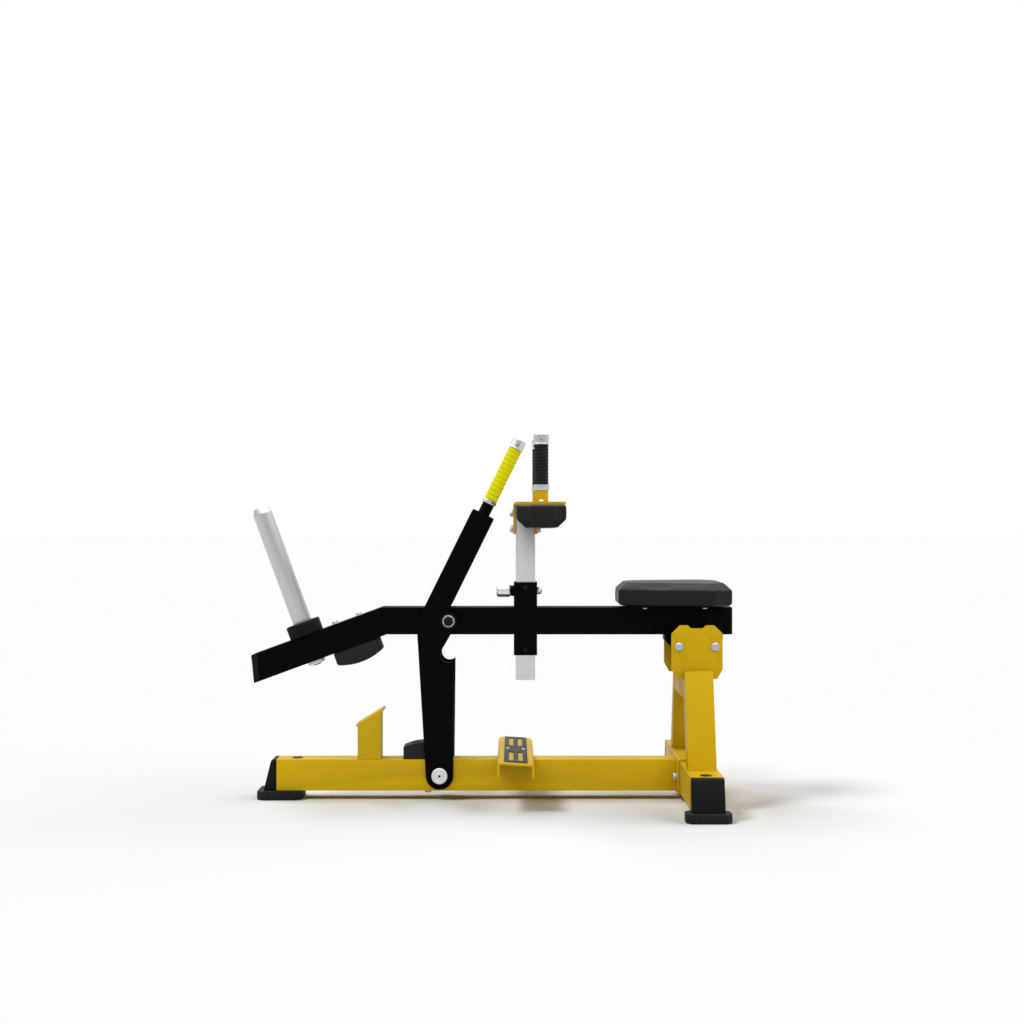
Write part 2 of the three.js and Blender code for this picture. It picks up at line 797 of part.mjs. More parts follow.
function leverPoint(along, down) {
  const bend = radians(leverBend);
  return [
    -leverBendAhead - along * Math.cos(bend) + down * Math.sin(bend),
    leverTop - along * Math.sin(bend) - down * Math.cos(bend),
  ];
}

function buildLeverBeam() {
  const bend = radians(leverBend);
  const cutAcross = leverTall * Math.tan(bend - radians(leverEndLean));
  const mitre = (down) => down * Math.tan(bend / 2);
  const bendPoint = (down) => [-leverBendAhead + mitre(down), leverTop - down];
  const endTop = leverPoint(leverSlopeLength, 0);
  const endBottom = leverPoint(leverSlopeLength + cutAcross, leverTall);
  const outline = [
    [leverBehind, leverTop], bendPoint(0), endTop, endBottom, bendPoint(leverTall),
    [leverBehind, leverBottom],
  ];
  const far = leverSlopeLength + leverTall;
  const low = leverTall - tubeWall;
  const hollow = [
    [leverBehind + overrun, leverTop - tubeWall], bendPoint(tubeWall), leverPoint(far, tubeWall),
    leverPoint(far, low), bendPoint(low), [leverBehind + overrun, leverBottom + tubeWall],
  ];
  const half = leverWidth / 2;
  const inside = half - tubeWall;
  const opening = padPostSize / 2 + sleeveClearance;
  const below = -leverTall - overrun;
  const stud = hornStudDiameter + 2 * boltGap;
  const bolt = bumperBoltDiameter + 2 * boltGap;
  const bumperCuts = [-1, 1].map((side) => onSlope(rod(
    'z', [-leverBumperAlong + side * leverBumperBoltSpacing / 2, 0, 0], bolt, below, overrun, boltSides)));
  add(lever, 'lever_beam', 'blackPaint', cut(
    sideShape(outline, -half, half),
    sideShape(hollow, -inside, inside),
    box(padPostX - opening, padPostX + opening, -opening, opening, leverBottom - overrun, leverTop + overrun),
    rod('y', [rollerX, 0, rollerHeight], catchBushDiameter + 2 * gap, -half - overrun, half + overrun,
      fineSides),
    onSlope(rod('z', [-hornAlong, 0, 0], stud, below, overrun)),
    ...bumperCuts,
  ));

  const capSide = (from, to) => [
    leverPoint(leverSlopeLength + from, 0), leverPoint(leverSlopeLength + to, 0),
    leverPoint(leverSlopeLength + cutAcross + to, leverTall),
    leverPoint(leverSlopeLength + cutAcross + from, leverTall),
  ];
  const fit = inside - gap;
  const plugFrom = -leverSlopeLength - cutAcross;
  add(lever, 'lever_front_cap', 'blackPlastic', join(
    sideShape(capSide(gap, gap + leverFrontCapThick), -half, half),
    onSlope(box(plugFrom, plugFrom + capSpigot + cutAcross, -fit, fit,
      -low + gap, -tubeWall - gap)),
  ));
  add(lever, 'lever_rear_cap', 'blackPlastic', join(
    box(leverBehind + gap, leverBehind + gap + leverRearCapThick, -half, half, leverBottom, leverTop),
    box(leverBehind - capSpigot, leverBehind + gap + leverRearCapThick / 2, -fit, fit,
      leverBottom + tubeWall + gap, leverTop - tubeWall - gap),
  ));
}

// Lug under the beam and the shaft that turns in the two bearings
function buildPivot() {
  const top = leverBottom - gap;
  const outline = [
    [-lugHalfLength, top], [-lugHalfLength, top - lugWall],
    [-lugHalfLength + lugChamfer, top - lugDepth], [lugHalfLength - lugChamfer, top - lugDepth],
    [lugHalfLength, top - lugWall], [lugHalfLength, top],
  ];
  const half = lugWidth / 2;
  add(lever, 'pivot_lug', 'blackPaint', cut(
    sideShape(outline, -half, half),
    rod('y', [0, 0, pivotHeight], shaftDiameter + 2 * gap, -half - overrun, half + overrun, fineSides),
  ));
  add(lever, 'pivot_shaft', 'steel', rod(
    'y', [0, 0, pivotHeight], shaftDiameter, gap - plateInner, plateInner - gap, fineSides));
}

// Sleeve of the thigh-pad post: one length above the beam, with the bosses of the pull pin and of the
// clamping screw, and one length below it
function buildSleeve() {
  const half = sleeveSize / 2;
  const inside = padPostSize / 2 + sleeveClearance;
  const x = padPostX;
  const upperFoot = leverTop + gap;
  const lowerHead = leverBottom - gap;
  const top = upperFoot + sleeveAboveBeam;
  const bottom = lowerHead - sleeveBelowBeam;
  const at = [0, 0, pinHeight];
  const hollow = (z0, z1) => box(x - inside, x + inside, -inside, inside, z0 - overrun, z1 + overrun);
  const bossEnd = x - half - pinHousingLength;
  add(lever, 'upper_sleeve', 'blackPaint', cut(
    join(
      box(x - half, x + half, -half, half, upperFoot, top),
      rod('x', at, pinHousingDiameter, bossEnd, x),
      dome('x', at, clampBossDiameter, x, x + half + clampBossLength),
    ),
    hollow(upperFoot, top),
    rod('x', at, pinDiameter + 2 * boltGap, bossEnd - overrun, x, boltSides),
  ));
  add(lever, 'lower_sleeve', 'blackPaint', cut(
    box(x - half, x + half, -half, half, bottom, lowerHead),
    hollow(bottom, lowerHead),
  ));
  const knobEnd = bossEnd - gap;
  const knobStart = knobEnd - knobLength;
  const radius = knobDiameter / 2;
  const pin = pinDiameter / 2;
  add(lever, 'pull_knob', 'chrome', turned('x', at, [
    [knobStart, 0], [knobStart, radius - knobEdge], [knobStart + knobEdge, radius],
    [knobEnd - knobEdge, radius], [knobEnd, radius - knobEdge], [knobEnd, pin],
    [x - inside, pin], [x - inside, 0],
  ], fineSides));
}

// Weight horn with its rubber collar and nut, and the lever's bumper, moulded round its two bolts
function buildHorn() {
  const at = [-hornAlong, 0, 0];
  const radius = hornDiameter / 2;
  const stud = hornStudDiameter / 2;
  const under = -leverTall - gap;
  const nutEnd = under - hornNutHeight;
  add(slope, 'weight_horn', 'chrome', turned('z', at, [
    [nutEnd - hornStudEnd, 0], [nutEnd - hornStudEnd, stud], [gap, stud], [gap, radius],
    [hornLength - hornTipTaper, radius], [hornLength, radius - hornTipChamfer], [hornLength, 0],
  ], fineSides));
  add(slope, 'horn_collar', 'rubber', cut(
    rod('z', at, collarDiameter, gap, gap + collarHeight, fineSides),
    rod('z', at, hornDiameter + 2 * gap, gap - overrun, gap + collarHeight + overrun, fineSides),
  ));
  add(slope, 'horn_nut', 'steel', cut(
    hexRod('z', at, hornNutFlats, nutEnd, under),
    rod('z', at, hornStudDiameter + 2 * gap, nutEnd - overrun, under + overrun),
  ));
  const bolts = [-1, 1].map((side) => [-leverBumperAlong + side * leverBumperBoltSpacing / 2, 0, 0]);
  add(slope, 'lever_bumper', 'rubber', join(
    sideShape(bumperOutline(-leverBumperAlong, under, -1), -bumperWidth / 2, bumperWidth / 2),
    ...bolts.flatMap((place) => [
      hexRod('z', place, bumperBoltFlats, gap, gap + bumperBoltHead),
      rod('z', place, bumperBoltDiameter, under - bumperSide / 2, gap + bumperBoltHead / 2, boltSides),
    ]),
  ));
}

// Upholstery: an outline drawn in between its corners, stacked in rings and crowned on its free face
function insetOutline(points, distance) {
  return points.map((point, i) => {
    const before = points[(i + points.length - 1) % points.length];
    const after = points[(i + 1) % points.length];
    const a = new THREE.Vector2(point[0] - before[0], point[1] - before[1]).normalize();
    const b = new THREE.Vector2(after[0] - point[0], after[1] - point[1]).normalize();
    const share = distance / (1 + a.dot(b));
    return [point[0] + share * (-a.y - b.y), point[1] + share * (a.x + b.x)];
  });
}

function cushionRing(points, counts, z, draw) {
  const ring = [];
  points.forEach((point, i) => {
    const next = points[(i + 1) % points.length];
    const side = new THREE.Vector2(next[0] - point[0], next[1] - point[1]);
    const inward = new THREE.Vector2(-side.y, side.x).normalize();
    for (let k = 0; k < counts[i]; k += 1) {
      const t = k / counts[i];
      const pull = draw * Math.sin(Math.PI * t);
      ring.push([point[0] + side.x * t + inward.x * pull, point[1] + side.y * t + inward.y * pull, z]);
    }
  });
  return ring;
}

function cushion(outline, seat, thick, up, footBevel, bevel, crown) {
  const counts = outline.map((point, i) => {
    const next = outline[(i + 1) % outline.length];
    return Math.max(2, Math.round(Math.hypot(next[0] - point[0], next[1] - point[1]) / cushionStep));
  });
  const ring = (inset, height) => cushionRing(
    insetOutline(outline, inset), counts, seat + up * height, cushionDraw);
  const shoulder = thick - crown;
  const wallShare = 0.5;
  const rings = [
    ring(footBevel, 0), ring(0, footBevel),
    ring(-cushionDraw / 2, footBevel + (shoulder - bevel - footBevel) * wallShare),
    ring(0, shoulder - bevel), ring(bevel, shoulder),
  ];
  const face = rings[rings.length - 1];
  const middle = face.reduce((sum, [x, y]) => [sum[0] + x / face.length, sum[1] + y / face.length], [0, 0]);
  for (const share of cushionCrownShares) {
    const lift = shoulder + crown * (1 - share * share);
    rings.push(face.map(([x, y]) => [
      middle[0] + (x - middle[0]) * share, middle[1] + (y - middle[1]) * share, seat + up * lift]));
  }
  const count = face.length;
  const positions = rings.flat(2);
  const footCentre = positions.length / 3;
  positions.push(middle[0], middle[1], seat);
  positions.push(middle[0], middle[1], seat + up * thick);
  const index = [];
  for (let i = 0; i < count; i += 1) {
    const next = (i + 1) % count;
    for (let level = 0; level < rings.length - 1; level += 1) {
      const a = level * count + i;
      const b = level * count + next;
      index.push(a, b, b + count, a, b + count, a + count);
    }
    const last = (rings.length - 1) * count;
    index.push(footCentre, next, i, footCentre + 1, last + i, last + next);
  }
  const shape = new THREE.BufferGeometry();
  shape.setAttribute('position', new THREE.Float32BufferAttribute(positions, 3));
  shape.setIndex(index);
  return shape;
}

// Seat: bracket plate on the beam, the board with the bolts that hold it from below, and the cushion
function buildSeat() {
  const outline = [
    [-seatFrontAhead, -seatFrontWidth / 2], [seatWidestBehind, -seatWidestWidth / 2],
    [seatRearBehind, -seatRearWidth / 2], [seatRearBehind, seatRearWidth / 2],
    [seatWidestBehind, seatWidestWidth / 2], [-seatFrontAhead, seatFrontWidth / 2],
  ];
  const plateFoot = leverTop + gap;
  const bolts = [];
  for (const x of [-seatBoltFrontAhead, seatBoltRearBehind]) {
    for (const side of [-1, 1]) bolts.push([x, side * seatBoltSpread / 2, 0]);
  }
  add(lever, 'seat_bracket', 'blackPaint', cut(
    box(-seatBracketFrontAhead, seatBracketRearBehind, -seatBracketWidth / 2, seatBracketWidth / 2,
      plateFoot, plateFoot + seatBracketThick),
    ...bolts.map((at) => rod('z', at, seatBoltDiameter + 2 * boltGap,
      plateFoot - overrun, seatBottom + overrun, boltSides)),
  ));
  const headSeat = plateFoot - gap;
  add(lever, 'seat_board', 'blackPaint', join(
    flatShape(insetOutline(outline, seatBoardInset), seatBottom, seatBottom + seatBoardThick),
    ...bolts.flatMap((at) => [
      dome('z', at, seatBoltHeadDiameter, headSeat, headSeat - seatBoltHeadHeight, boltSides),
      rod('z', at, seatBoltDiameter, headSeat - seatBoltHeadHeight / 2, seatBottom + seatBoardThick / 2,
        boltSides),
    ]),
  ));
  add(lever, 'seat_pad', 'vinyl', cut(
    cushion(outline, seatBottom, seatThick, 1, seatFootBevel, seatBevel, seatCrown),
    flatShape(insetOutline(outline, seatBoardInset - gap), seatBottom - overrun,
      seatBottom + seatBoardThick + gap),
  ));
}

// Catch pin: a bush through the beam, the roller whose two discs share a sleeve inside the bush, and
// the bolt that turns with the roller
function buildCatchPin() {
  const at = [rollerX, 0, rollerHeight];
  const bushEnd = leverWidth / 2 + catchBushReach;
  const discStart = bushEnd + gap;
  const discEnd = catchOuter + gap;
  const rimEnd = discEnd + catchRimThick;
  add(lever, 'catch_bush', 'blackPaint', cut(
    rod('y', at, catchBushDiameter, -bushEnd, bushEnd, fineSides),
    rod('y', at, catchSleeveDiameter + 2 * gap, -rimEnd, rimEnd, fineSides),
  ));
  const discs = bothSides.flatMap(([side]) => [
    rod('y', at, catchRollerDiameter, ...span(side * discStart, side * discEnd), fineSides),
    rod('y', at, catchRimDiameter, ...span(side * catchOuter, side * rimEnd), fineSides),
  ]);
  const seat = rimEnd + gap;
  const bolt = seat + catchBoltHead;
  add(lever, 'catch_roller', 'steel', cut(
    join(rod('y', at, catchSleeveDiameter, -discEnd, discEnd, fineSides), ...discs),
    rod('y', at, catchBoltDiameter + 2 * boltGap, -bolt, bolt),
  ));
  add(lever, 'catch_bolt', 'darkSteel', join(
    rod('y', at, catchBoltDiameter, -seat - catchBoltHead / 2, seat + catchBoltHead / 2),
    hexRod('y', at, catchBoltFlats, -bolt, -seat),
    hexRod('y', at, catchBoltFlats, seat, bolt),
  ));
}

// Catch arm. The group's origin is the arm's own pivot; `upper` is the leaning top part's frame
const rollerRise = rollerHeight - catchPivotHeight;
const notchRadius = catchRollerDiameter / 2 + catchNotchClearance;
const upperLean = radians(catchUpperLean);
const upperX = catchRollerReach - catchShoulderBack;
const upperZ = rollerRise + catchShoulderRise;
catchArm.position.set(catchX, 0, catchPivotHeight);

const upperPoint = (across, along) => [
  upperX + across * Math.cos(upperLean) + along * Math.sin(upperLean),
  upperZ - across * Math.sin(upperLean) + along * Math.cos(upperLean),
];

// One hook: the tip, the round of the notch and the end of the slanted way into it
function notchOutline(z) {
  return arcPoints(catchRollerReach, z, notchRadius, -catchNotchTip, catchNotchMouth - 270, 16);
}

function catchOutline() {
  const lowerNotch = rollerRise - catchNotchSpacing;
  const tipDrop = notchRadius * Math.sin(radians(catchNotchTip));
  const lowerHook = notchOutline(lowerNotch);
  const upperHook = notchOutline(rollerRise);
  const mouthStart = lowerHook[lowerHook.length - 1];
  const shelf = rollerRise - tipDrop - catchHookRise;
  const mouthRun = (shelf - mouthStart[1]) / Math.tan(radians(catchNotchMouth));
  const half = catchUpperWidth / 2;
  const foot = catchFootRadius;
  const throat = catchThroatRise;
  const shoulder = catchUpperLength - catchUpperCorner;
  return [
    ...arcPoints(0, 0, foot, 180 + catchLowerLean, 360, 14),
    [catchHookReach - catchHookStep, lowerNotch - tipDrop - catchHookStep],
    ...lowerHook,
    [mouthStart[0] + mouthRun, shelf],
    ...upperHook,
    upperPoint(half, throat),
    upperPoint(half, shoulder), upperPoint(half - catchUpperCorner, catchUpperLength),
    upperPoint(catchUpperCorner - half, catchUpperLength), upperPoint(-half, shoulder),
    upperPoint(-half, -throat),
    [-catchBackReach, rollerRise - catchBackDrop],
    [catchBackStep - catchBackReach, rollerRise - catchBackDrop - catchBackRun],
  ];
}

function buildCatchArm() {
  const hole = rod('y', [0, 0, 0], catchAxleDiameter + 2 * gap, -catchOuter * 2, catchOuter * 2, fineSides);
  add(catchArm, 'catch_plate_near', 'blackPaint', cut(
    sideShape(catchOutline(), -catchOuter, -catchInner), hole));
  add(catchArm, 'catch_plate_far', 'blackPaint', cut(
    sideShape(catchOutline(), catchInner, catchOuter), hole));

  const between = catchInner - gap;
  const backTop = [catchBackStep - catchBackReach, rollerRise - catchBackDrop - catchBackRun];
  const leftAt = (z) => -catchFootRadius + (backTop[0] + catchFootRadius) * z / backTop[1] + catchWebInset;
  const web = sideShape([
    [leftAt(catchWebLow), catchWebLow], [leftAt(catchWebLow) + catchWebThick, catchWebLow],
    [leftAt(catchWebHigh) + catchWebThick, catchWebHigh], [leftAt(catchWebHigh), catchWebHigh],
  ], -between, between);
  const halfX = catchUpperWidth / 2 - gap;
  const headFoot = catchUpperLength - catchHeadLength;
  const inUpper = (shape) => shape.rotateY(upperLean).translate(upperX, 0, upperZ);
  const head = cut(
    box(-halfX, halfX, -between, between, headFoot, catchUpperLength),
    box(catchHeadWall - halfX, halfX - catchHeadWall, catchHeadWall - between, between - catchHeadWall,
      headFoot - overrun, catchUpperLength - catchHeadWall),
    rod('z', [0, 0, 0], catchHandleDiameter + 2 * gap, headFoot, catchUpperLength + overrun, fineSides),
  );
  add(catchArm, 'catch_web', 'blackPaint', web);
  add(catchArm, 'catch_head', 'blackPaint', inUpper(head));

  const stubEnd = catchUpperLength + catchHandleStub;
  const ringEnd = stubEnd + gripRingLength;
  const gripFoot = ringEnd + gap;
  const capFoot = gripFoot + catchGripLength + gap;
  const coreEnd = capFoot + gripCapLength / 2;
  add(catchArm, 'catch_handle', 'blackPaint', inUpper(handle([
    [catchUpperLength - catchHandleInside, catchHandleDiameter / 2], [stubEnd, catchHandleDiameter / 2],
    [stubEnd, catchRingDiameter / 2], [ringEnd, catchRingDiameter / 2],
  ], ringEnd, coreEnd)));
  add(catchArm, 'catch_grip', 'yellowGrip', inUpper(grip(catchGripDiameter, gripFoot, catchGripLength)));
  add(catchArm, 'catch_grip_cap', 'chrome', inUpper(
    gripCap(catchCapDiameter, capFoot, gripCapLength, coreEnd)));
}

// A handle is a tube with a ring pressed on it and a thinner core that carries the grip and the cap
function handle(profile, ringEnd, coreEnd) {
  const core = gripCoreDiameter / 2;
  return turned('z', [0, 0, 0], [
    [profile[0][0], 0], ...profile, [ringEnd, core], [coreEnd, core], [coreEnd, 0],
  ], fineSides);
}

function grip(diameter, foot, length) {
  const radius = diameter / 2;
  const top = foot + length;
  return cut(
    turned('z', [0, 0, 0], [
      [foot, 0], [foot, radius - gripEdge], [foot + gripEdge, radius],
      [top - gripEdge, radius], [top, radius - gripEdge], [top, 0],
    ], fineSides),
    rod('z', [0, 0, 0], gripCoreDiameter + 2 * gap, foot - overrun, top + overrun, fineSides),
  );
}

function gripCap(diameter, foot, length, coreEnd) {
  const radius = diameter / 2;
  const top = foot + length;
  return cut(
    turned('z', [0, 0, 0], [
      [foot, 0], [foot, radius], [top - gripEdge, radius], [top, radius - gripEdge], [top, 0],
    ], fineSides),
    rod('z', [0, 0, 0], gripCoreDiameter + 2 * gap, foot - overrun, coreEnd + gap, fineSides),
  );
}

// Thigh pad: the sliding post, the bracket on its top, two pads and two handles
function buildPadPost() {
  const x = padPostX;
  const half = padPostSize / 2;
  const inside = half - padPostWall;
  const top = bracketUnder - gap;
  const pinHoles = [];
  for (let i = -pinHolesEachWay; i <= pinHolesEachWay; i += 1) {
    pinHoles.push(rod('x', [x, 0, pinHeight + i * pinHolePitch], pinHoleDiameter,
      -half - overrun, overrun - inside, boltSides));
  }
  const boltHeights = [bracketUnder - bracketBoltUpper, bracketUnder - bracketBoltLower];
  const cheekOuter = half + gap + bracketThick;
  const crossHole = (z) => rod('x', [x, 0, z], bracketBoltDiameter + 2 * boltGap,
    -cheekOuter - overrun, cheekOuter + overrun, boltSides);
  add(padSlide, 'pad_post', 'chrome', cut(
    box(x - half, x + half, -half, half, padPostBottom, top),
    box(x - inside, x + inside, -inside, inside, padPostBottom - overrun, top + overrun),
    ...pinHoles,
    ...boltHeights.map(crossHole),
  ));

  const left = x - cheekOuter;
  const right = left + bracketLength;
  const plateTop = bracketUnder + bracketTopThick;
  const fold = bracketTopThick;
  const topOutline = [
    [left, bracketUnder], ...arcPoints(left + fold, plateTop - fold, fold, 180, 90, 4), [right, plateTop],
    [right, bracketUnder],
  ];
  const cheekHalf = bracketCheekWidth / 2;
  const cheekFoot = bracketUnder - bracketCheekDrop;
  const joined = bracketUnder + bracketTopThick / 2;
  add(padSlide, 'pad_bracket', 'yellowPaint', cut(
    join(
      sideShape(topOutline, -bracketWidth / 2, bracketWidth / 2),
      box(left, left + bracketThick, -cheekHalf, cheekHalf, cheekFoot, bracketUnder + gap),
      box(x + half + gap, x + cheekOuter, -cheekHalf, cheekHalf, cheekFoot, joined),
    ),
    ...boltHeights.map(crossHole),
  ));

  const seat = cheekOuter + gap;
  boltHeights.forEach((z, i) => add(padSlide, `bracket_bolt_${['upper', 'lower'][i]}`, 'steel', join(
    hexRod('x', [x, 0, z], bracketBoltFlats, -seat - bracketBoltHead, -seat),
    rod('x', [x, 0, z], bracketBoltDiameter, -seat - bracketBoltHead / 2, seat + bracketBoltHead / 2,
      boltSides),
    hexRod('x', [x, 0, z], bracketBoltFlats, seat, seat + bracketBoltHead),
  )));

  const padLeft = left + padLead;
  const padRight = padLeft + padWide;
  const nose = padWide * (1 - padNoseShare) / 2;
  const cornerY = padInner + padLength - padNoseDepth;
  const padOutline = [
    [padLeft, padInner], [padRight, padInner], [padRight, cornerY],
    [padRight - nose, padInner + padLength], [padLeft + nose, padInner + padLength], [padLeft, cornerY],
  ];
  const handleX = left + padLead + padWide / 2;
  const stubFoot = plateTop + gap;
  const stubEnd = stubFoot + padHandleStub;
  const ringEnd = stubEnd + padRingLength;
  const gripFoot = ringEnd + gap;
  const capFoot = gripFoot + padGripLength + gap;
  const coreEnd = capFoot + padCapLength / 2;
  for (const [side, where] of bothSides) {
    const standing = (shape) => shape.translate(handleX, side * padHandleSpread / 2, 0);
    add(padSlide, `thigh_pad_${where}`, 'vinyl', join(
      cushion(padOutline, top, padThick, -1, padTopBevel, padBevel, padCrown).scale(1, side, 1)));
    add(padSlide, `pad_handle_${where}`, 'yellowPaint', standing(handle([
      [stubFoot, padHandleDiameter / 2], [stubEnd, padHandleDiameter / 2],
      [stubEnd, padRingDiameter / 2], [ringEnd, padRingDiameter / 2],
    ], ringEnd, coreEnd)));
    add(padSlide, `pad_grip_${where}`, 'blackGrip', standing(grip(padGripDiameter, gripFoot, padGripLength)));
    add(padSlide, `pad_grip_cap_${where}`, 'chrome', standing(
      gripCap(padCapDiameter, capFoot, padCapLength, coreEnd)));
  }
}

buildBase();
buildCrossMember();
buildSaddle();
buildStand();
buildBearings();
buildStops();
buildFootPlate();
buildCatchAxle();
buildLeverBeam();
buildPivot();
buildSleeve();
buildHorn();
buildSeat();
buildCatchPin();
buildCatchArm();
buildPadPost();

// The origin is on the floor under the middle of the machine's length
const bounds = new THREE.Box3().setFromObject(machine, true);
machine.position.x = -(bounds.min.x + bounds.max.x) / 2;

export default machine;
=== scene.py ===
import math

import bmesh
import bpy
from mathutils import Matrix, Vector


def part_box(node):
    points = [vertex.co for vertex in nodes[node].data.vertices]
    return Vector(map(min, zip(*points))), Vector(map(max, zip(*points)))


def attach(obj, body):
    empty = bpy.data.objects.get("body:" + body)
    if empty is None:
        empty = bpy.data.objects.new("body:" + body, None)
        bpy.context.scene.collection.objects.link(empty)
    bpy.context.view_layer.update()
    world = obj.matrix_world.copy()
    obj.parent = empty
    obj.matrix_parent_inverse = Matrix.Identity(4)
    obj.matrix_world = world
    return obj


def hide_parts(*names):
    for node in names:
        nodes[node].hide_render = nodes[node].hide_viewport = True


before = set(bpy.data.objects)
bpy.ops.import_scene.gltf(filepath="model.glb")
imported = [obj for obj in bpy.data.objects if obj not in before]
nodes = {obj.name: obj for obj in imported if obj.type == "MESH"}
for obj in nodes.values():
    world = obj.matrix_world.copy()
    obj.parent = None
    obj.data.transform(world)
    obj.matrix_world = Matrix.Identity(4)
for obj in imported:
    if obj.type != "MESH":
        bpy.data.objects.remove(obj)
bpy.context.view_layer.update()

scene = bpy.context.scene
scene.view_settings.view_transform = "Standard"

# camera: level, looking along +Y, in metres
cameraPlan = {"place": (0.052888, -3.690, 0.7395), "lens": 50.0, "sensor": 36.0}
cameraData = bpy.data.cameras.new("camera")
cameraData.lens = cameraPlan["lens"]
cameraData.sensor_width = cameraPlan["sensor"]
camera = bpy.data.objects.new("camera", cameraData)
camera.location = cameraPlan["place"]
camera.rotation_euler = (math.pi / 2, 0, 0)
scene.collection.objects.link(camera)
scene.camera = camera
print("camera ready")


# one shader output; arithmetic on it adds Math nodes
class Wire:
    def __init__(self, shader, socket):
        self.shader = shader
        self.socket = socket

    def maths(self, operation, first, second):
        return self.shader.node("ShaderNodeMath", {"operation": operation}, {0: first, 1: second})

    def __add__(self, other):
        return self.maths("ADD", self, other)

    def __rsub__(self, other):
        return self.maths("SUBTRACT", other, self)

    def __mul__(self, other):
        return self.maths("MULTIPLY", self, other)

    def __gt__(self, other):
        return self.maths("GREATER_THAN", self, other)


class Shader:
    def __init__(self, tree):
        self.tree = tree

    def feed(self, socket, value):
        if isinstance(value, Wire):
            self.tree.links.new(value.socket, socket)
        elif hasattr(value, "__len__") and len(value) == 3 and len(socket.default_value) == 4:
            socket.default_value = (*value, 1.0)
        else:
            socket.default_value = value

    def node(self, kind, settings=None, inputs=None, output=0):
        made = self.tree.nodes.new(kind)
        for key, value in (settings or {}).items():
            setattr(made, key, value)
        for key, value in (inputs or {}).items():
            self.feed(made.inputs[key], value)
        return Wire(self, made.outputs[output])

    def objectPoint(self, stretch=(1, 1, 1), turn=(0, 0, 0)):
        point = self.node("ShaderNodeTexCoord", output="Object")
        return self.node("ShaderNodeMapping", {}, {"Vector": point, "Rotation": turn, "Scale": stretch})

    def noise(self, point, scale, detail=2.0, roughness=0.5):
        return self.node("ShaderNodeTexNoise", {"noise_dimensions": "3D"}, {
            "Vector": point, "Scale": scale, "Detail": detail, "Roughness": roughness})

    def mixColour(self, factor, first, second):
        return self.node("ShaderNodeMix", {"data_type": "RGBA"}, {0: factor, 6: first, 7: second}, output=2)

    # a colour that drifts with the factor, from a darker share of itself to a paler one
    def driftingColour(self, factor, colour, darker, paler):
        return self.mixColour(factor, tinted(colour, darker), tinted(colour, paler))

    def bump(self, height, strength, distance, under=None):
        inputs = {"Height": height, "Strength": strength, "Distance": distance}
        if under:
            inputs["Normal"] = under
        return self.node("ShaderNodeBump", {}, inputs)


def tinted(colour, share):
    return tuple(min(1.0, part * share) for part in colour)


def newMaterial(name):
    material = bpy.data.materials.new(name)
    material.use_nodes = True
    return material, Shader(material.node_tree)


def setSurface(shader, values):
    surface = shader.tree.nodes["Principled BSDF"]
    for key, value in values.items():
        shader.feed(surface.inputs[key], value)


# powder coat: faint orange peel, slow drift of the colour and a few duller patches
paintPlan = {
    "driftScale": 5.0, "darker": 0.93, "paler": 1.06,
    "speckScale": 700.0, "speckLevel": 0.78, "speckShare": 0.35,
    "peelScale": 1400.0, "peelStrength": 0.18, "peelDepth": 0.0004,
    "waveScale": 160.0, "waveStrength": 0.03, "waveDepth": 0.002,
    "patchScale": 18.0, "rough": 0.36, "roughSwing": 0.14, "specular": 0.12,
}


def paintFinish(name, **changes):
    plan = {**paintPlan, **changes}
    material, shader = newMaterial(name)
    point = shader.objectPoint()
    drift = shader.noise(point, plan["driftScale"], detail=3.0)
    patches = shader.noise(point, plan["patchScale"], detail=4.0, roughness=0.6)
    specks = shader.noise(point, plan["speckScale"], detail=1.0) > plan["speckLevel"]
    body = shader.driftingColour(drift, plan["colour"], plan["darker"], plan["paler"])
    waves = shader.bump(shader.noise(point, plan["waveScale"]), plan["waveStrength"], plan["waveDepth"])
    peel = shader.noise(point, plan["peelScale"])
    setSurface(shader, {
        "Base Color": shader.mixColour(specks * plan["speckShare"], body, plan["speckColour"]),
        "Roughness": patches * plan["roughSwing"] + plan["rough"],
        "Normal": shader.bump(peel, plan["peelStrength"], plan["peelDepth"], waves),
        "Specular IOR Level": plan["specular"],
    })
    return material


# moulded plastic and rubber: fine grain, pale dust in the hollows of the grain
mouldedPlan = {
    "grainScale": 1800.0, "grainStrength": 0.35, "grainDepth": 0.0005,
    "cloudScale": 22.0, "swing": 0.2, "dust": 0.22, "dustColour": (0.035, 0.035, 0.036),
    "rough": 0.46, "roughSwing": 0.15, "specular": 0.17,
}


def mouldedFinish(name, **changes):
    plan = {**mouldedPlan, **changes}
    material, shader = newMaterial(name)
    point = shader.objectPoint()
    grain = shader.noise(point, plan["grainScale"], detail=3.0, roughness=0.6)
    cloud = shader.noise(point, plan["cloudScale"], detail=4.0, roughness=0.55)
    body = shader.driftingColour(cloud, plan["colour"], 1 - plan["swing"], 1 + plan["swing"])
    setSurface(shader, {
        "Base Color": shader.mixColour(grain * cloud * plan["dust"], body, plan["dustColour"]),
        "Roughness": cloud * plan["roughSwing"] + plan["rough"],
        "Normal": shader.bump(grain, plan["grainStrength"], plan["grainDepth"]),
        "Specular IOR Level": plan["specular"],
    })
    return material


# bare metal: marks stretched along one axis, as from turning or drawing
metalPlan = {
    "stretch": (1, 1, 1), "markScale": 300.0, "markShade": 0.25, "markTint": 0.55,
    "markStrength": 0.12, "markDepth": 0.0003, "cloudScale": 30.0, "cloudSwing": 0.06,
    "rough": 0.22, "roughSwing": 0.14, "cloudRough": 0.06,
}


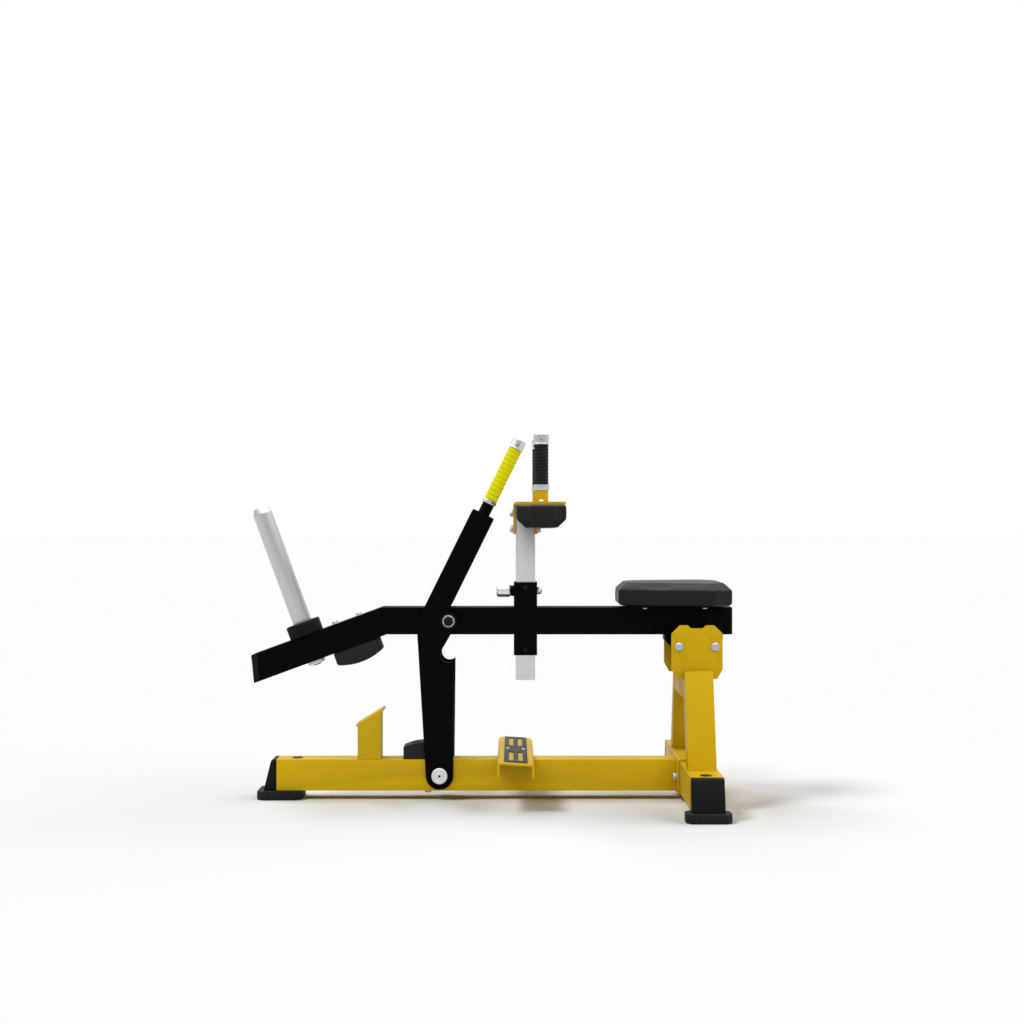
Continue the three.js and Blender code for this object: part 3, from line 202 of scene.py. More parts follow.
def metalFinish(name, **changes):
    plan = {**metalPlan, **changes}
    material, shader = newMaterial(name)
    marks = shader.noise(shader.objectPoint(plan["stretch"]), plan["markScale"], detail=4.0, roughness=0.6)
    cloud = shader.noise(shader.objectPoint(), plan["cloudScale"], detail=3.0)
    body = shader.driftingColour(cloud, plan["colour"], 1 - plan["cloudSwing"], 1 + plan["cloudSwing"])
    marked = tinted(plan["colour"], plan["markTint"])
    setSurface(shader, {
        "Base Color": shader.mixColour(marks * plan["markShade"], body, marked),
        "Metallic": 1.0,
        "Roughness": marks * plan["roughSwing"] + cloud * plan["cloudRough"] + plan["rough"],
        "Normal": shader.bump(marks, plan["markStrength"], plan["markDepth"]),
    })
    return material


# artificial leather: fine crossing threads printed at 45 degrees over a soft pebble grain
leatherPlan = {
    "colour": (0.0022, 0.0022, 0.0023), "darker": 0.8, "paler": 1.22, "cloudScale": 26.0,
    "threadScale": 260.0, "threadWander": 0.6, "threadColour": (0.007, 0.007, 0.0073),
    "threadShade": 0.5, "threadStrength": 0.35, "threadDepth": 0.00025, "threadRough": 0.06,
    "pebbleScale": 620.0, "pebbleStrength": 0.28, "pebbleDepth": 0.0004,
    "rough": 0.39, "roughSwing": 0.14, "specular": 0.235, "sheen": 0.01, "sheenRough": 0.5,
}


def leatherFinish(name, plan):
    material, shader = newMaterial(name)
    point = shader.objectPoint()
    threads = []
    for angle in (math.pi / 4, -math.pi / 4):
        turned = shader.objectPoint(turn=(0, angle, angle))
        threads.append(shader.node(
            "ShaderNodeTexWave", {"wave_type": "BANDS", "bands_direction": "X"},
            {"Vector": turned, "Scale": plan["threadScale"], "Distortion": plan["threadWander"],
             "Detail": 1.0, "Detail Scale": 2.0}, output=1))
    weave = threads[0] * threads[1]
    pebbles = shader.node("ShaderNodeTexVoronoi", {"feature": "DISTANCE_TO_EDGE"}, {
        "Vector": point, "Scale": plan["pebbleScale"]})
    cloud = shader.noise(point, plan["cloudScale"], detail=4.0, roughness=0.6)
    body = shader.driftingColour(cloud, plan["colour"], plan["darker"], plan["paler"])
    grain = shader.bump(pebbles, plan["pebbleStrength"], plan["pebbleDepth"])
    setSurface(shader, {
        "Base Color": shader.mixColour(weave * plan["threadShade"], body, plan["threadColour"]),
        "Roughness": cloud * plan["roughSwing"] + weave * plan["threadRough"] + plan["rough"],
        "Normal": shader.bump(weave, plan["threadStrength"], plan["threadDepth"], grain),
        "Specular IOR Level": plan["specular"],
        "Sheen Weight": plan["sheen"],
        "Sheen Roughness": plan["sheenRough"],
    })
    return material


brightChrome = metalFinish("bright_chrome", colour=(0.61, 0.61, 0.61), rough=0.27, roughSwing=0.03,
                           markShade=0.06, markStrength=0.02, cloudSwing=0.02)
# each finish: the name of a slot for its pieces, which nothing here assigns, and its material
finishes = {
    "yellowPaint": ("yellow_paint", paintFinish(
        "yellow_powder_coat", colour=(0.575, 0.365, 0.006), speckColour=(0.40, 0.24, 0.01))),
    "blackPaint": ("black_paint", paintFinish(
        "black_powder_coat", colour=(0.0012, 0.0012, 0.0013), speckColour=(0.006, 0.006, 0.006),
        specular=0.035, rough=0.38)),
    "capPlastic": ("black_plastic", mouldedFinish(
        "cap_plastic", colour=(0.0021, 0.0022, 0.0022), specular=0.13)),
    "footRubber": ("foot_rubber", mouldedFinish(
        "foot_rubber", colour=(0.0076, 0.0076, 0.0076), grainScale=1100.0, rough=0.62)),
    "bumperRubber": ("bumper_rubber", mouldedFinish(
        "bumper_rubber", colour=(0.0112, 0.0112, 0.0112), grainScale=900.0, rough=0.60)),
    "collarRubber": ("bumper_rubber", mouldedFinish(
        "collar_rubber", colour=(0.0024, 0.0024, 0.0024), dust=0.1, grainScale=900.0, rough=0.60,
        specular=0.14)),
    "treadRubber": ("bumper_rubber", mouldedFinish(
        "tread_rubber", colour=(0.060, 0.060, 0.061), grainScale=1300.0, rough=0.7)),
    "gripBlack": ("black_grip", mouldedFinish(
        "grip_black", colour=(0.0072, 0.0072, 0.0070), rough=0.58, swing=0.1)),
    "gripYellow": ("yellow_grip", mouldedFinish(
        "grip_yellow", colour=(0.66, 0.645, 0.005), rough=0.60, dust=0.02, swing=0.01,
        grainStrength=0.01, dustColour=(0.45, 0.42, 0.02), specular=0.10)),
    "boardPaint": ("seat_board", mouldedFinish("board_black", colour=(0.012, 0.012, 0.012))),
    "rollerBlack": ("bolt_steel", mouldedFinish(
        "roller_black", colour=(0.0014, 0.0014, 0.0014), dust=0.05)),
    "boltSteel": ("bolt_steel", metalFinish("bolt_zinc", colour=(0.52, 0.52, 0.515), rough=0.32)),
    "brightZinc": ("bolt_steel", metalFinish(
        "bolt_bright_zinc", colour=(0.80, 0.80, 0.79), rough=0.42, cloudSwing=0.02)),
    "boltChrome": ("bolt_steel", brightChrome),
    "darkBolt": ("dark_bolt", metalFinish(
        "bolt_blackened", colour=(0.020, 0.020, 0.022), rough=0.42)),
    "chrome": ("chrome", brightChrome),
    "hornChrome": ("chrome", metalFinish(
        "horn_chrome", colour=(0.57, 0.565, 0.56), stretch=(0.25, 6.0, 0.25), rough=0.26)),
    "postSteel": ("chrome", metalFinish(
        "post_satin_steel", colour=(0.72, 0.72, 0.72), stretch=(5.0, 5.0, 0.06), rough=0.42)),
    "knobChrome": ("chrome", metalFinish(
        "knob_chrome", colour=(0.78, 0.78, 0.77), stretch=(0.12, 4.0, 4.0), rough=0.26)),
    "discSilver": ("chrome", metalFinish(
        "disc_silver", colour=(0.80, 0.80, 0.80), rough=0.34, roughSwing=0.10)),
    "upholstery": ("upholstery", leatherFinish("upholstery_leather", leatherPlan)),
}
print("finishes ready:", len(finishes))

# stage: a pale floor, and a world that the camera sees as white and the metal mirrors as grey
# sides under a bright top
stagePlan = {
    "floorHalf": 40.0, "floorColour": (1.0, 1.0, 1.0), "floorSide": (0.72, 0.72, 0.72),
    "ambient": 0.03, "front": 0.57, "side": 0.82, "frontRange": (-0.85, 0.15),
    "overhead": 3.1, "overheadRange": (0.35, 0.9),
}
# mirrored: the metal shows the lamp; lightsFloor: the lamp lights the floor too, with its shadows
lampPlans = {
    "topBack": {"strength": 1.14, "angle": 30.0, "turn": (-20.0, -25.0, 0.0),
                "mirrored": True, "lightsFloor": True},
    "topLeft": {"strength": 1.26, "angle": 16.0, "turn": (10.0, -35.0, 0.0),
                "mirrored": False, "lightsFloor": True},
    "topRight": {"strength": 1.75, "angle": 60.0, "turn": (-5.0, 55.0, 0.0),
                 "mirrored": False, "lightsFloor": True},
    "frontFill": {"strength": 1.50, "angle": 50.0, "turn": (70.0, 0.0, 0.0),
                  "mirrored": False, "lightsFloor": False},
    "frontTop": {"strength": 0.45, "angle": 50.0, "turn": (25.0, 0.0, 0.0),
                 "mirrored": False, "lightsFloor": False},
}


def lightPaths(shader):
    return [shader.node("ShaderNodeLightPath", output=name)
            for name in ("Is Camera Ray", "Is Glossy Ray", "Is Transmission Ray")]


# the floor is white to the camera and to mirrors, and a little darker in the light that it returns
def makeFloor(plan):
    bm = bmesh.new()
    bmesh.ops.create_grid(bm, x_segments=1, y_segments=1, size=plan["floorHalf"])
    mesh = bpy.data.meshes.new("floor")
    bm.to_mesh(mesh)
    bm.free()
    floor = bpy.data.objects.new("floor", mesh)
    scene.collection.objects.link(floor)
    material, shader = newMaterial("floor_pale")
    shader.tree.nodes.clear()
    cameraRay, glossyRay, clearRay = lightPaths(shader)
    seen = cameraRay.maths("MAXIMUM", cameraRay, glossyRay)
    seen = seen.maths("MAXIMUM", seen, clearRay)
    pale = shader.node("ShaderNodeBsdfDiffuse", {}, {"Color": plan["floorColour"]})
    darker = shader.node("ShaderNodeBsdfDiffuse", {}, {"Color": plan["floorSide"]})
    mixed = shader.node("ShaderNodeMixShader", {}, {0: seen, 1: darker, 2: pale})
    output = shader.tree.nodes.new("ShaderNodeOutputMaterial")
    shader.tree.links.new(mixed.socket, output.inputs["Surface"])
    mesh.materials.append(material)
    return floor


def rangeOf(shader, value, span, low, high):
    return shader.node("ShaderNodeMapRange", {"clamp": True}, {
        "Value": value, "From Min": span[0], "From Max": span[1], "To Min": low, "To Max": high})


def makeWorld(plan):
    world = bpy.data.worlds.new("studio")
    scene.world = world
    world.use_nodes = True
    tree = world.node_tree
    tree.nodes.clear()
    shader = Shader(tree)
    cameraRay, glossyRay, clearRay = lightPaths(shader)
    direction = shader.node("ShaderNodeTexCoord", output="Generated")
    away = shader.node("ShaderNodeSeparateXYZ", {}, {0: direction}, output=1)
    above = shader.node("ShaderNodeSeparateXYZ", {}, {0: direction}, output=2)
    depth = rangeOf(shader, away, plan["frontRange"], plan["front"], plan["side"])
    top = rangeOf(shader, above, plan["overheadRange"], 0.0, plan["overhead"] - plan["side"])
    mirrored = glossyRay * (depth + top) + clearRay
    rest = (1 - glossyRay) * (1 - clearRay) * plan["ambient"]
    level = cameraRay + (1 - cameraRay) * (mirrored + rest)
    sky = shader.node("ShaderNodeBackground", {}, {"Color": (1, 1, 1), "Strength": level})
    output = tree.nodes.new("ShaderNodeOutputWorld")
    tree.links.new(sky.socket, output.inputs["Surface"])


def makeSun(name, plan, floorOnly):
    lamp = bpy.data.lights.new(name, "SUN")
    lamp.energy = plan["strength"]
    lamp.angle = math.radians(plan["angle"])
    holder = bpy.data.objects.new(name, lamp)
    holder.rotation_euler = [math.radians(part) for part in plan["turn"]]
    holder.visible_glossy = plan["mirrored"]
    scene.collection.objects.link(holder)
    if not plan["lightsFloor"]:
        holder.light_linking.receiver_collection = floorOnly


# the fill lamps light the machine alone, so that they don't wash out its shadow on the floor
floorOnly = bpy.data.collections.new("floor_only")
floorOnly.objects.link(makeFloor(stagePlan))
floorOnly.collection_objects[0].light_linking.link_state = "EXCLUDE"
makeWorld(stagePlan)
for name, plan in lampPlans.items():
    makeSun(name, plan, floorOnly)
print("stage ready")


# piece makers, and the fixed values of the mesh tools in metres and degrees
toolPlan = {
    "weld": 0.00003, "cutWeld": 0.00001, "seamWeld": 0.000005, "cornerAngle": 60.0, "cornerSteps": 4,
    "easeShare": 0.45, "easeLeast": 0.00005, "easeStraight": 170.0,
}


def holdPiece(name, mesh, body, finish, replaced, smooth):
    slotName, material = finishes[finish]
    mesh.materials.clear()
    mesh.materials.append(material)
    mesh.shade_smooth()
    mesh.set_sharp_from_angle(angle=math.radians(smooth))
    piece = bpy.data.objects.new(name, mesh)
    scene.collection.objects.link(piece)
    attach(piece, body)
    if replaced:
        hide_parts(*replaced)
    return piece


def makePiece(name, bm, body, finish, replaced=(), smooth=32.0):
    mesh = bpy.data.meshes.new(name)
    bm.to_mesh(mesh)
    bm.free()
    holdPiece(name, mesh, body, finish, replaced, smooth)


# a copy of a CAD solid with its doubled corners welded
def weldedCopy(name):
    bm = bmesh.new()
    bm.from_mesh(nodes[name].data)
    bmesh.ops.remove_doubles(bm, verts=bm.verts, dist=toolPlan["weld"])
    return bm


# the same with its flat faces merged
def mergedCopy(name, flat=1.0):
    bm = weldedCopy(name)
    bmesh.ops.dissolve_limit(bm, angle_limit=math.radians(flat), verts=bm.verts, edges=bm.edges)
    return bm


# takes away what lies past a plane, on the side of its normal
def cutPast(bm, place, normal):
    return bmesh.ops.bisect_plane(bm, geom=bm.verts[:] + bm.edges[:] + bm.faces[:], plane_co=place,
                                  plane_no=normal, clear_outer=True, clear_inner=False,
                                  dist=toolPlan["cutWeld"])


def bevelEdges(bm, edges, width, segments):
    if edges:
        bmesh.ops.bevel(bm, geom=edges, offset=width, offset_type="OFFSET", segments=segments,
                        profile=0.5, affect="EDGES", clamp_overlap=True, material=-1)


def sharpEdges(bm, angle=30.0):
    return [edge for edge in bm.edges
            if edge.is_manifold and edge.calc_face_angle(0) > math.radians(angle)]


# a CAD part with its edges eased: the long outer corners by `corner`, the rest by `edge`
def easedPart(name, body, finish, edge, corner=0.0, longer=0.0):
    bm = mergedCopy(name)
    if corner:
        outer = [e for e in sharpEdges(bm, toolPlan["cornerAngle"])
                 if e.is_convex and e.calc_length() > longer]
        bevelEdges(bm, outer, corner, toolPlan["cornerSteps"])
    bevelEdges(bm, sharpEdges(bm), edge, 2)
    makePiece(name + "_finished", bm, body, finish, (name,))


# a profile with its corners eased by curves that start at most `radius` before and after them
def easeProfile(points, radius, steps=3):
    eased = [points[0]]
    for before, corner, after in zip(points, points[1:], points[2:]):
        here = Vector(corner)
        back = Vector(before) - here
        ahead = Vector(after) - here
        reach = min(radius, back.length * toolPlan["easeShare"], ahead.length * toolPlan["easeShare"])
        if reach < toolPlan["easeLeast"] or back.angle(ahead) > math.radians(toolPlan["easeStraight"]):
            eased.append(corner)
            continue
        start = here + back.normalized() * reach
        end = here + ahead.normalized() * reach
        for step in range(steps + 1):
            share = step / steps
            point = start.lerp(here, share).lerp(here.lerp(end, share), share)
            eased.append((max(0.0, point.x), point.y))
    eased.append(points[-1])
    return eased


# one end's profile with its mirror image at the other end of `length`
def mirroredProfile(points, length):
    return points + [(radius, length - along) for radius, along in reversed(points)]


# a turned mesh: its profile gives radius and height along +Z
def turnedMesh(profile, count):
    bm = bmesh.new()
    points = [bm.verts.new((radius, 0, along)) for radius, along in profile]
    edges = [bm.edges.new(pair) for pair in zip(points, points[1:])]
    bmesh.ops.spin(bm, geom=points + edges, cent=(0, 0, 0), axis=(0, 0, 1), dvec=(0, 0, 0),
                   angle=math.tau, steps=count, use_merge=True, use_duplicate=False)
    bmesh.ops.remove_doubles(bm, verts=bm.verts, dist=toolPlan["seamWeld"])
    bmesh.ops.recalc_face_normals(bm, faces=bm.faces)
    return bm


def rodMesh(radius, length, count):
    return turnedMesh([(0.0, 0.0), (radius, 0.0), (radius, length), (0.0, length)], count)


# turns a mesh made along +Z to `axis` and moves its foot to `place`
def placed(bm, axis, place, spin=0.0):
    turn = Vector((0, 0, 1)).rotation_difference(Vector(axis)).to_matrix().to_4x4()
    bm.transform(Matrix.Translation(Vector(place)) @ turn @ Matrix.Rotation(math.radians(spin), 4, "Z"))
    return bm


def turnedPiece(name, profile, axis, place, body, finish, replaced=(), count=48, ease=0.0006, smooth=40.0):
    bm = placed(turnedMesh(easeProfile(profile, ease), count), axis, place)
    makePiece(name, bm, body, finish, replaced, smooth)


def joinMeshes(bms):
    whole = bms[0]
    for bm in bms[1:]:
        holder = bpy.data.meshes.new("part")
        bm.to_mesh(holder)
        bm.free()
        whole.from_mesh(holder)
        bpy.data.meshes.remove(holder)
    return whole


# shares of a hexagon head's width and height, and its eased edges in metres
hexPlan = {"chamfer": 0.055, "crown": 0.08, "edge": 0.0004, "socketTaper": 0.02, "washerEase": 0.0004}


# a hexagon head: `flats` across, chamfered like a real one, on a washer if it has one
def hexHead(flats, height, bore=0.0, depth=0.0, washer=0.0, washerThick=0.0016):
    bm = bmesh.new()
    bmesh.ops.create_cone(bm, cap_ends=True, segments=6, radius1=flats / math.sqrt(3),
                          radius2=flats / math.sqrt(3), depth=height)
    bmesh.ops.translate(bm, verts=bm.verts, vec=(0, 0, height / 2 + (washerThick if washer else 0)))
    top = [f for f in bm.faces if f.normal.z > 0.9]  # the flat end, raised inside its chamfer
    bmesh.ops.inset_region(bm, faces=top, thickness=flats * hexPlan["chamfer"], depth=0.0)
    bmesh.ops.translate(bm, verts=list({v for f in top for v in f.verts}),
                        vec=(0, 0, height * hexPlan["crown"]))
    bevelEdges(bm, sharpEdges(bm, 50.0), hexPlan["edge"], 2)
    if bore:
        # of the level faces only the wide one inside the chamfer is opened
        top = [f for f in bm.faces if f.normal.z > 0.98 and f.calc_area() > flats * flats * 0.3]
        bmesh.ops.inset_region(bm, faces=top, thickness=(flats - bore) / 2, depth=0.0)
        bmesh.ops.inset_region(bm, faces=top, thickness=bore * hexPlan["socketTaper"], depth=-depth)
    if not washer:
        return bm
    ring = [(0.0, 0.0), (washer / 2, 0.0), (washer / 2, washerThick), (0.0, washerThick)]
    return joinMeshes([bm, turnedMesh(easeProfile(ring, hexPlan["washerEase"]), 32)])


# shares of a round head's height
roundPlan = {"rim": 0.3, "recessLip": 0.96, "recessWall": 0.5, "recessFloor": 0.4}


# a low round head: its upright rim, then a dome, with a shallow drive recess where `drive` is given
def roundHead(diameter, height, drive=0.0):
    radius = diameter / 2
    rim = roundPlan["rim"]
    angles = [math.radians(15 * k) for k in range(1, 6)]
    profile = [(0.0, 0.0), (radius, 0.0), (radius, height * rim)]
    profile += [(radius * math.cos(a), height * (rim + (1 - rim) * math.sin(a))) for a in angles]
    if drive:
        profile = [p for p in profile if p[0] > drive / 2]
        profile += [(drive / 2, height * roundPlan["recessLip"]),
                    (drive / 2, height * roundPlan["recessWall"]), (0.0, height * roundPlan["recessFloor"])]
    else:
        profile.append((0.0, height))
    return turnedMesh(profile, 32)


def centreOf(name):
    low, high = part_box(name)
    return (low + high) / 2


# painted steel and moulded parts that keep the CAD form, with eased edges
easedParts = [
    # node, body, finish, edge, and for tubes the corner and what counts as a long edge
    ("base_beam", "frame", "yellowPaint", 0.0005, 0.0012, 0.3),
    ("cross_member", "frame", "yellowPaint", 0.0005, 0.0012, 0.3),
    ("stand_post_near", "frame", "yellowPaint", 0.0005, 0.0014, 0.13),
    ("stand_post_far", "frame", "yellowPaint", 0.0005, 0.0014, 0.13),
    ("stand_bridge", "frame", "yellowPaint", 0.0005, 0.0014, 0.16),
    ("saddle_plate", "frame", "yellowPaint", 0.0008),
    ("pivot_plate_near", "frame", "yellowPaint", 0.0009),
    ("pivot_plate_far", "frame", "yellowPaint", 0.0009),
    ("stop_post", "frame", "yellowPaint", 0.0009),
    ("foot_plate", "frame", "yellowPaint", 0.0007),
    ("pad_bracket", "pad_slide", "yellowPaint", 0.0008),
    ("base_front_cap", "frame", "capPlastic", 0.0012),
    ("cross_cap_near", "frame", "capPlastic", 0.0012),
    ("cross_cap_far", "frame", "capPlastic", 0.0012),
    ("lever_front_cap", "lever", "capPlastic", 0.0014),
    ("lever_rear_cap", "lever", "capPlastic", 0.0014),
    ("front_foot", "frame", "footRubber", 0.0006),
    ("rear_foot_near", "frame", "footRubber", 0.0006),
    ("rear_foot_far", "frame", "footRubber", 0.0006),
    ("lever_beam", "lever", "blackPaint", 0.0005, 0.0014, 0.2),
    ("pivot_lug", "lever", "blackPaint", 0.0009),
    ("upper_sleeve", "lever", "blackPaint", 0.0006),
    ("lower_sleeve", "lever", "blackPaint", 0.0006),
    ("seat_bracket", "lever", "blackPaint", 0.0007),
    ("catch_bush", "lever", "blackPaint", 0.0007),
    ("catch_plate_near", "catch_arm", "blackPaint", 0.0008),
    ("catch_plate_far", "catch_arm", "blackPaint", 0.0008),
    ("catch_web", "catch_arm", "blackPaint", 0.0007),
    ("catch_head", "catch_arm", "blackPaint", 0.0016),
    ("pad_post", "pad_slide", "postSteel", 0.0005, 0.0016, 0.3),
]
for row in easedParts:
    easedPart(*row)
print("steel parts ready:", len(easedParts))

# places that several pieces share, in metres and in the frame's own axes
layout = {
    "bendX": -0.282112, "bendZ": 0.4944, "slope": 20.2, "leverTall": 0.070,
    "upperX": -0.138312, "upperZ": 0.4964, "upperLean": 26.3,
}
gap = 0.0003  # between pieces that are fitted together
hair = 0.0001  # by which a cut or a seat misses a face
sides = {"near": -1, "far": 1}
pivotAt = centreOf("pivot_shaft")
axleAt = centreOf("catch_axle")
rollerAt = centreOf("catch_roller")
knobAt = centreOf("pull_knob")
postX = centreOf("pad_post").x
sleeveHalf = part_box("lower_sleeve")[1].y
baseLow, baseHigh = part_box("base_beam")


# a point on the lever's front slope: down it from the bend, up from its top face, and across
def slopeAt(along, up, across=0.0):
    turn = math.radians(layout["slope"])
    return Vector((layout["bendX"] - along * math.cos(turn) - up * math.sin(turn), across,
                   layout["bendZ"] - along * math.sin(turn) + up * math.cos(turn)))


# a point on the axis of the catch arm's leaning upper half
def upperAt(along):
    turn = math.radians(layout["upperLean"])
    return Vector((layout["upperX"] + along * math.sin(turn), 0,
                   layout["upperZ"] + along * math.cos(turn)))


slopeUp = slopeAt(0, 1) - slopeAt(0, 0)
upperUp = upperAt(1) - upperAt(0)

# handles: a stub on a core, a chrome ring, a grip of overlapping ribs and a turned cap
handlePlans = {
    "catch": {
        "body": "catch_arm", "stubFinish": "blackPaint", "stubRadius": 0.0155, "stubLength": 0.0842,
        "coreRadius": 0.013, "ringAt": 0.084, "ringRadius": 0.0185, "ringLength": 0.010,
        "gripFinish": "gripYellow", "gripRadius": 0.01725, "gripLength": 0.147, "ribs": 12, "dip": 0.0015,
        "capRadius": 0.019, "capLength": 0.026,
    },
    "pad": {
        "body": "pad_slide", "stubFinish": "yellowPaint", "stubRadius": 0.0178, "stubLength": 0.028,
        "coreRadius": 0.013, "ringAt": 0.028, "ringRadius": 0.020, "ringLength": 0.014,
        "gripFinish": "gripBlack", "gripRadius": 0.01825, "gripLength": 0.0996, "ribs": 12, "dip": 0.0016,
        "capRadius": 0.020, "capLength": 0.0255,
    },
    # where each rib's points lie along it, and how much of the dip they take
    "rib": [(0.03, 1.0), (0.12, 0.25), (0.35, 0.0), (0.75, 0.0), (0.93, 0.25)],
    # the cap's hollow end, as shares of its inner radius and of its depth
    "dish": [(0.0, 1.0), (0.55, 0.92), (0.92, 0.5), (1.0, 0.12)],
    "cap": {"rim": 0.0026, "rimSlope": 0.0006, "dish": 0.0042, "corner": 0.0009, "cornerInset": 0.0004,
            "lip": 0.0009, "lipFoot": 0.0002, "lipTop": 0.0030, "lipSlope": 0.0005, "footInset": 0.001,
            "screwAlong": 0.45},
    "screw": [(0.0, -0.001), (0.0019, -0.001), (0.0019, 0.0004), (0.0011, 0.0004), (0.0010, -0.0006),
              (0.0, -0.0006)],
    "catchFoot": 0.211, "catchCore": 0.245,
}


def ringProfile(bore, radius, length):
    return [(bore, 0.0), (radius, 0.0), (radius, length), (bore, length), (bore, 0.0)]


def gripProfile(plan):
    bore = plan["coreRadius"] + gap
    pitch = plan["gripLength"] / plan["ribs"]
    points = [(bore, 0.0)]
    for k in range(plan["ribs"]):
        points += [(plan["gripRadius"] - plan["dip"] * sunk, (k + along) * pitch)
                   for along, sunk in handlePlans["rib"]]
    points += [(plan["gripRadius"] - plan["dip"], plan["gripLength"]), (bore, plan["gripLength"])]
    return points + [points[0]]


def capProfile(radius, length, plan):
    inner = radius - plan["rim"]
    lip = radius + plan["lip"]
    hollow = [(inner * out, length - plan["dish"] * deep) for out, deep in handlePlans["dish"]]
    rim = [(inner + plan["rimSlope"], length), (radius - plan["cornerInset"], length),
           (radius, length - plan["corner"])]
    foot = [(radius, plan["lipTop"] + plan["lipSlope"]), (lip, plan["lipTop"]), (lip, plan["lipFoot"]),
            (radius - plan["footInset"], 0.0), (0.0, 0.0)]
    return hollow + rim + foot


def makeHandle(handle, grip, foot, up, coreLength, plan):
    cap = handlePlans["cap"]
    foot = Vector(foot)
    up = Vector(up)
    turnedPiece(handle + "_stub",
                [(0.0, 0.0), (plan["stubRadius"], 0.0), (plan["stubRadius"], plan["stubLength"]),
                 (plan["coreRadius"], plan["stubLength"]), (plan["coreRadius"], coreLength),
                 (0.0, coreLength)],
                up, foot, plan["body"], plan["stubFinish"], (handle,))
    turnedPiece(handle + "_ring",
                ringProfile(plan["coreRadius"] + hair, plan["ringRadius"], plan["ringLength"]),
                up, foot + up * plan["ringAt"], plan["body"], "chrome", (handle,))
    gripFoot = foot + up * (plan["ringAt"] + plan["ringLength"] + gap)
    turnedPiece(grip + "_ribbed", gripProfile(plan), up, gripFoot, plan["body"], plan["gripFinish"],
                (grip,), 40, 0.0, 50.0)
    capFoot = gripFoot + up * (plan["gripLength"] + gap)
    radius = plan["capRadius"] - cap["lip"]
    turnedPiece(grip + "_cap_turned", capProfile(radius, plan["capLength"], cap), up, capFoot,
                plan["body"], "chrome", (grip.replace("grip", "grip_cap"),), 56, 0.0005)
    out = Vector((0, -1, 0))
    turnedPiece(grip + "_set_screw", handlePlans["screw"], out,
                capFoot + up * plan["capLength"] * cap["screwAlong"] + out * radius,
                plan["body"], "darkBolt", (), 16, 0.0001)


makeHandle("catch_handle", "catch_grip", upperAt(handlePlans["catchFoot"]), upperUp,
           handlePlans["catchCore"], handlePlans["catch"])
for where in sides:
    low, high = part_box("pad_handle_" + where)
    middle = (low + high) / 2
    makeHandle("pad_handle_" + where, "pad_grip_" + where, (middle.x, middle.y, low.z), (0, 0, 1),
               high.z - low.z, handlePlans["pad"])
print("handles ready")

# horn with its stud, collar, washer and nut
hornPlan = {
    "along": 0.209916, "studFoot": -0.0826, "nutTurn": 8.0,
    "horn": [(0.0, 0.0), (0.0245, 0.0), (0.0245, 0.3327), (0.0187, 0.3485), (0.0175, 0.3487),
             (0.0, 0.3487)],
    "stud": [(0.0, 0.0), (0.0095, 0.0), (0.0116, 0.002), (0.0116, 0.070), (0.0, 0.070)],
    "collar": [(0.0249, 0.0), (0.0435, 0.0), (0.0445, 0.0012), (0.0445, 0.0305), (0.0418, 0.0336),
               (0.0285, 0.0336), (0.0249, 0.0320), (0.0249, 0.0)],
    "nut": {"flats": 0.0400, "height": 0.0072, "washer": 0.0445, "washerThick": 0.0016},
}
hornFoot = slopeAt(hornPlan["along"], gap)
turnedPiece("weight_horn_turned", hornPlan["horn"], slopeUp, hornFoot, "lever", "hornChrome",
            ("weight_horn",), 64, 0.0008)
turnedPiece("weight_horn_stud", hornPlan["stud"], slopeUp, slopeAt(hornPlan["along"], hornPlan["studFoot"]),
            "lever", "darkBolt", ("weight_horn",), 32, 0.0003)
turnedPiece("horn_collar_moulded", hornPlan["collar"], slopeUp, hornFoot, "lever", "collarRubber",
            ("horn_collar",), 64, 0.0016)
nutSeat = slopeAt(hornPlan["along"], -layout["leverTall"] - gap)
makePiece("horn_nut_finished", placed(hexHead(**hornPlan["nut"]), -slopeUp, nutSeat, hornPlan["nutTurn"]),
          "lever", "brightZinc", ("horn_nut",))

# lever bumper and arm bumper: the blocks are cut free of their bolts, closed and eased
bumperPlan = {
    "edge": 0.0032, "armFoot": 0.10258, "leverFoot": -0.0704, "leverAlong": 0.097412, "spread": 0.064,
    "arc": 0.1532, "boltTurns": (8.0, 28.0), "topScrewAlong": 0.328,
    # well: a shallow dish laid on the arm bumper's top in darker rubber, its darkness painted shade for the
    # depth of a bolt recess
    "well": [(0.0, 0.0), (0.0080, 0.0001), (0.0088, 0.0011), (0.0104, 0.0014), (0.0112, 0.0006),
             (0.0114, -0.001), (0.0, -0.001)],
    "armBolt": {"flats": 0.015, "height": 0.0062, "washer": 0.020},
    "leverBolt": {"flats": 0.015, "height": 0.0058, "washer": 0.0195, "washerThick": 0.0014},
    "topScrew": {"diameter": 0.010, "height": 0.003, "drive": 0.0045},
}


def bumperBlock(name, place, normal, body):
    bm = mergedCopy(name, 0.5)
    cut = cutPast(bm, place, normal)
    rim = [item for item in cut["geom_cut"] if isinstance(item, bmesh.types.BMEdge)]
    bmesh.ops.holes_fill(bm, edges=rim, sides=0)
    bmesh.ops.delete(bm, geom=[v for v in bm.verts if not v.link_faces], context="VERTS")
    bevelEdges(bm, sharpEdges(bm, 40.0), bumperPlan["edge"], 3)
    makePiece(name + "_moulded", bm, body, "bumperRubber", (name,), 30.0)


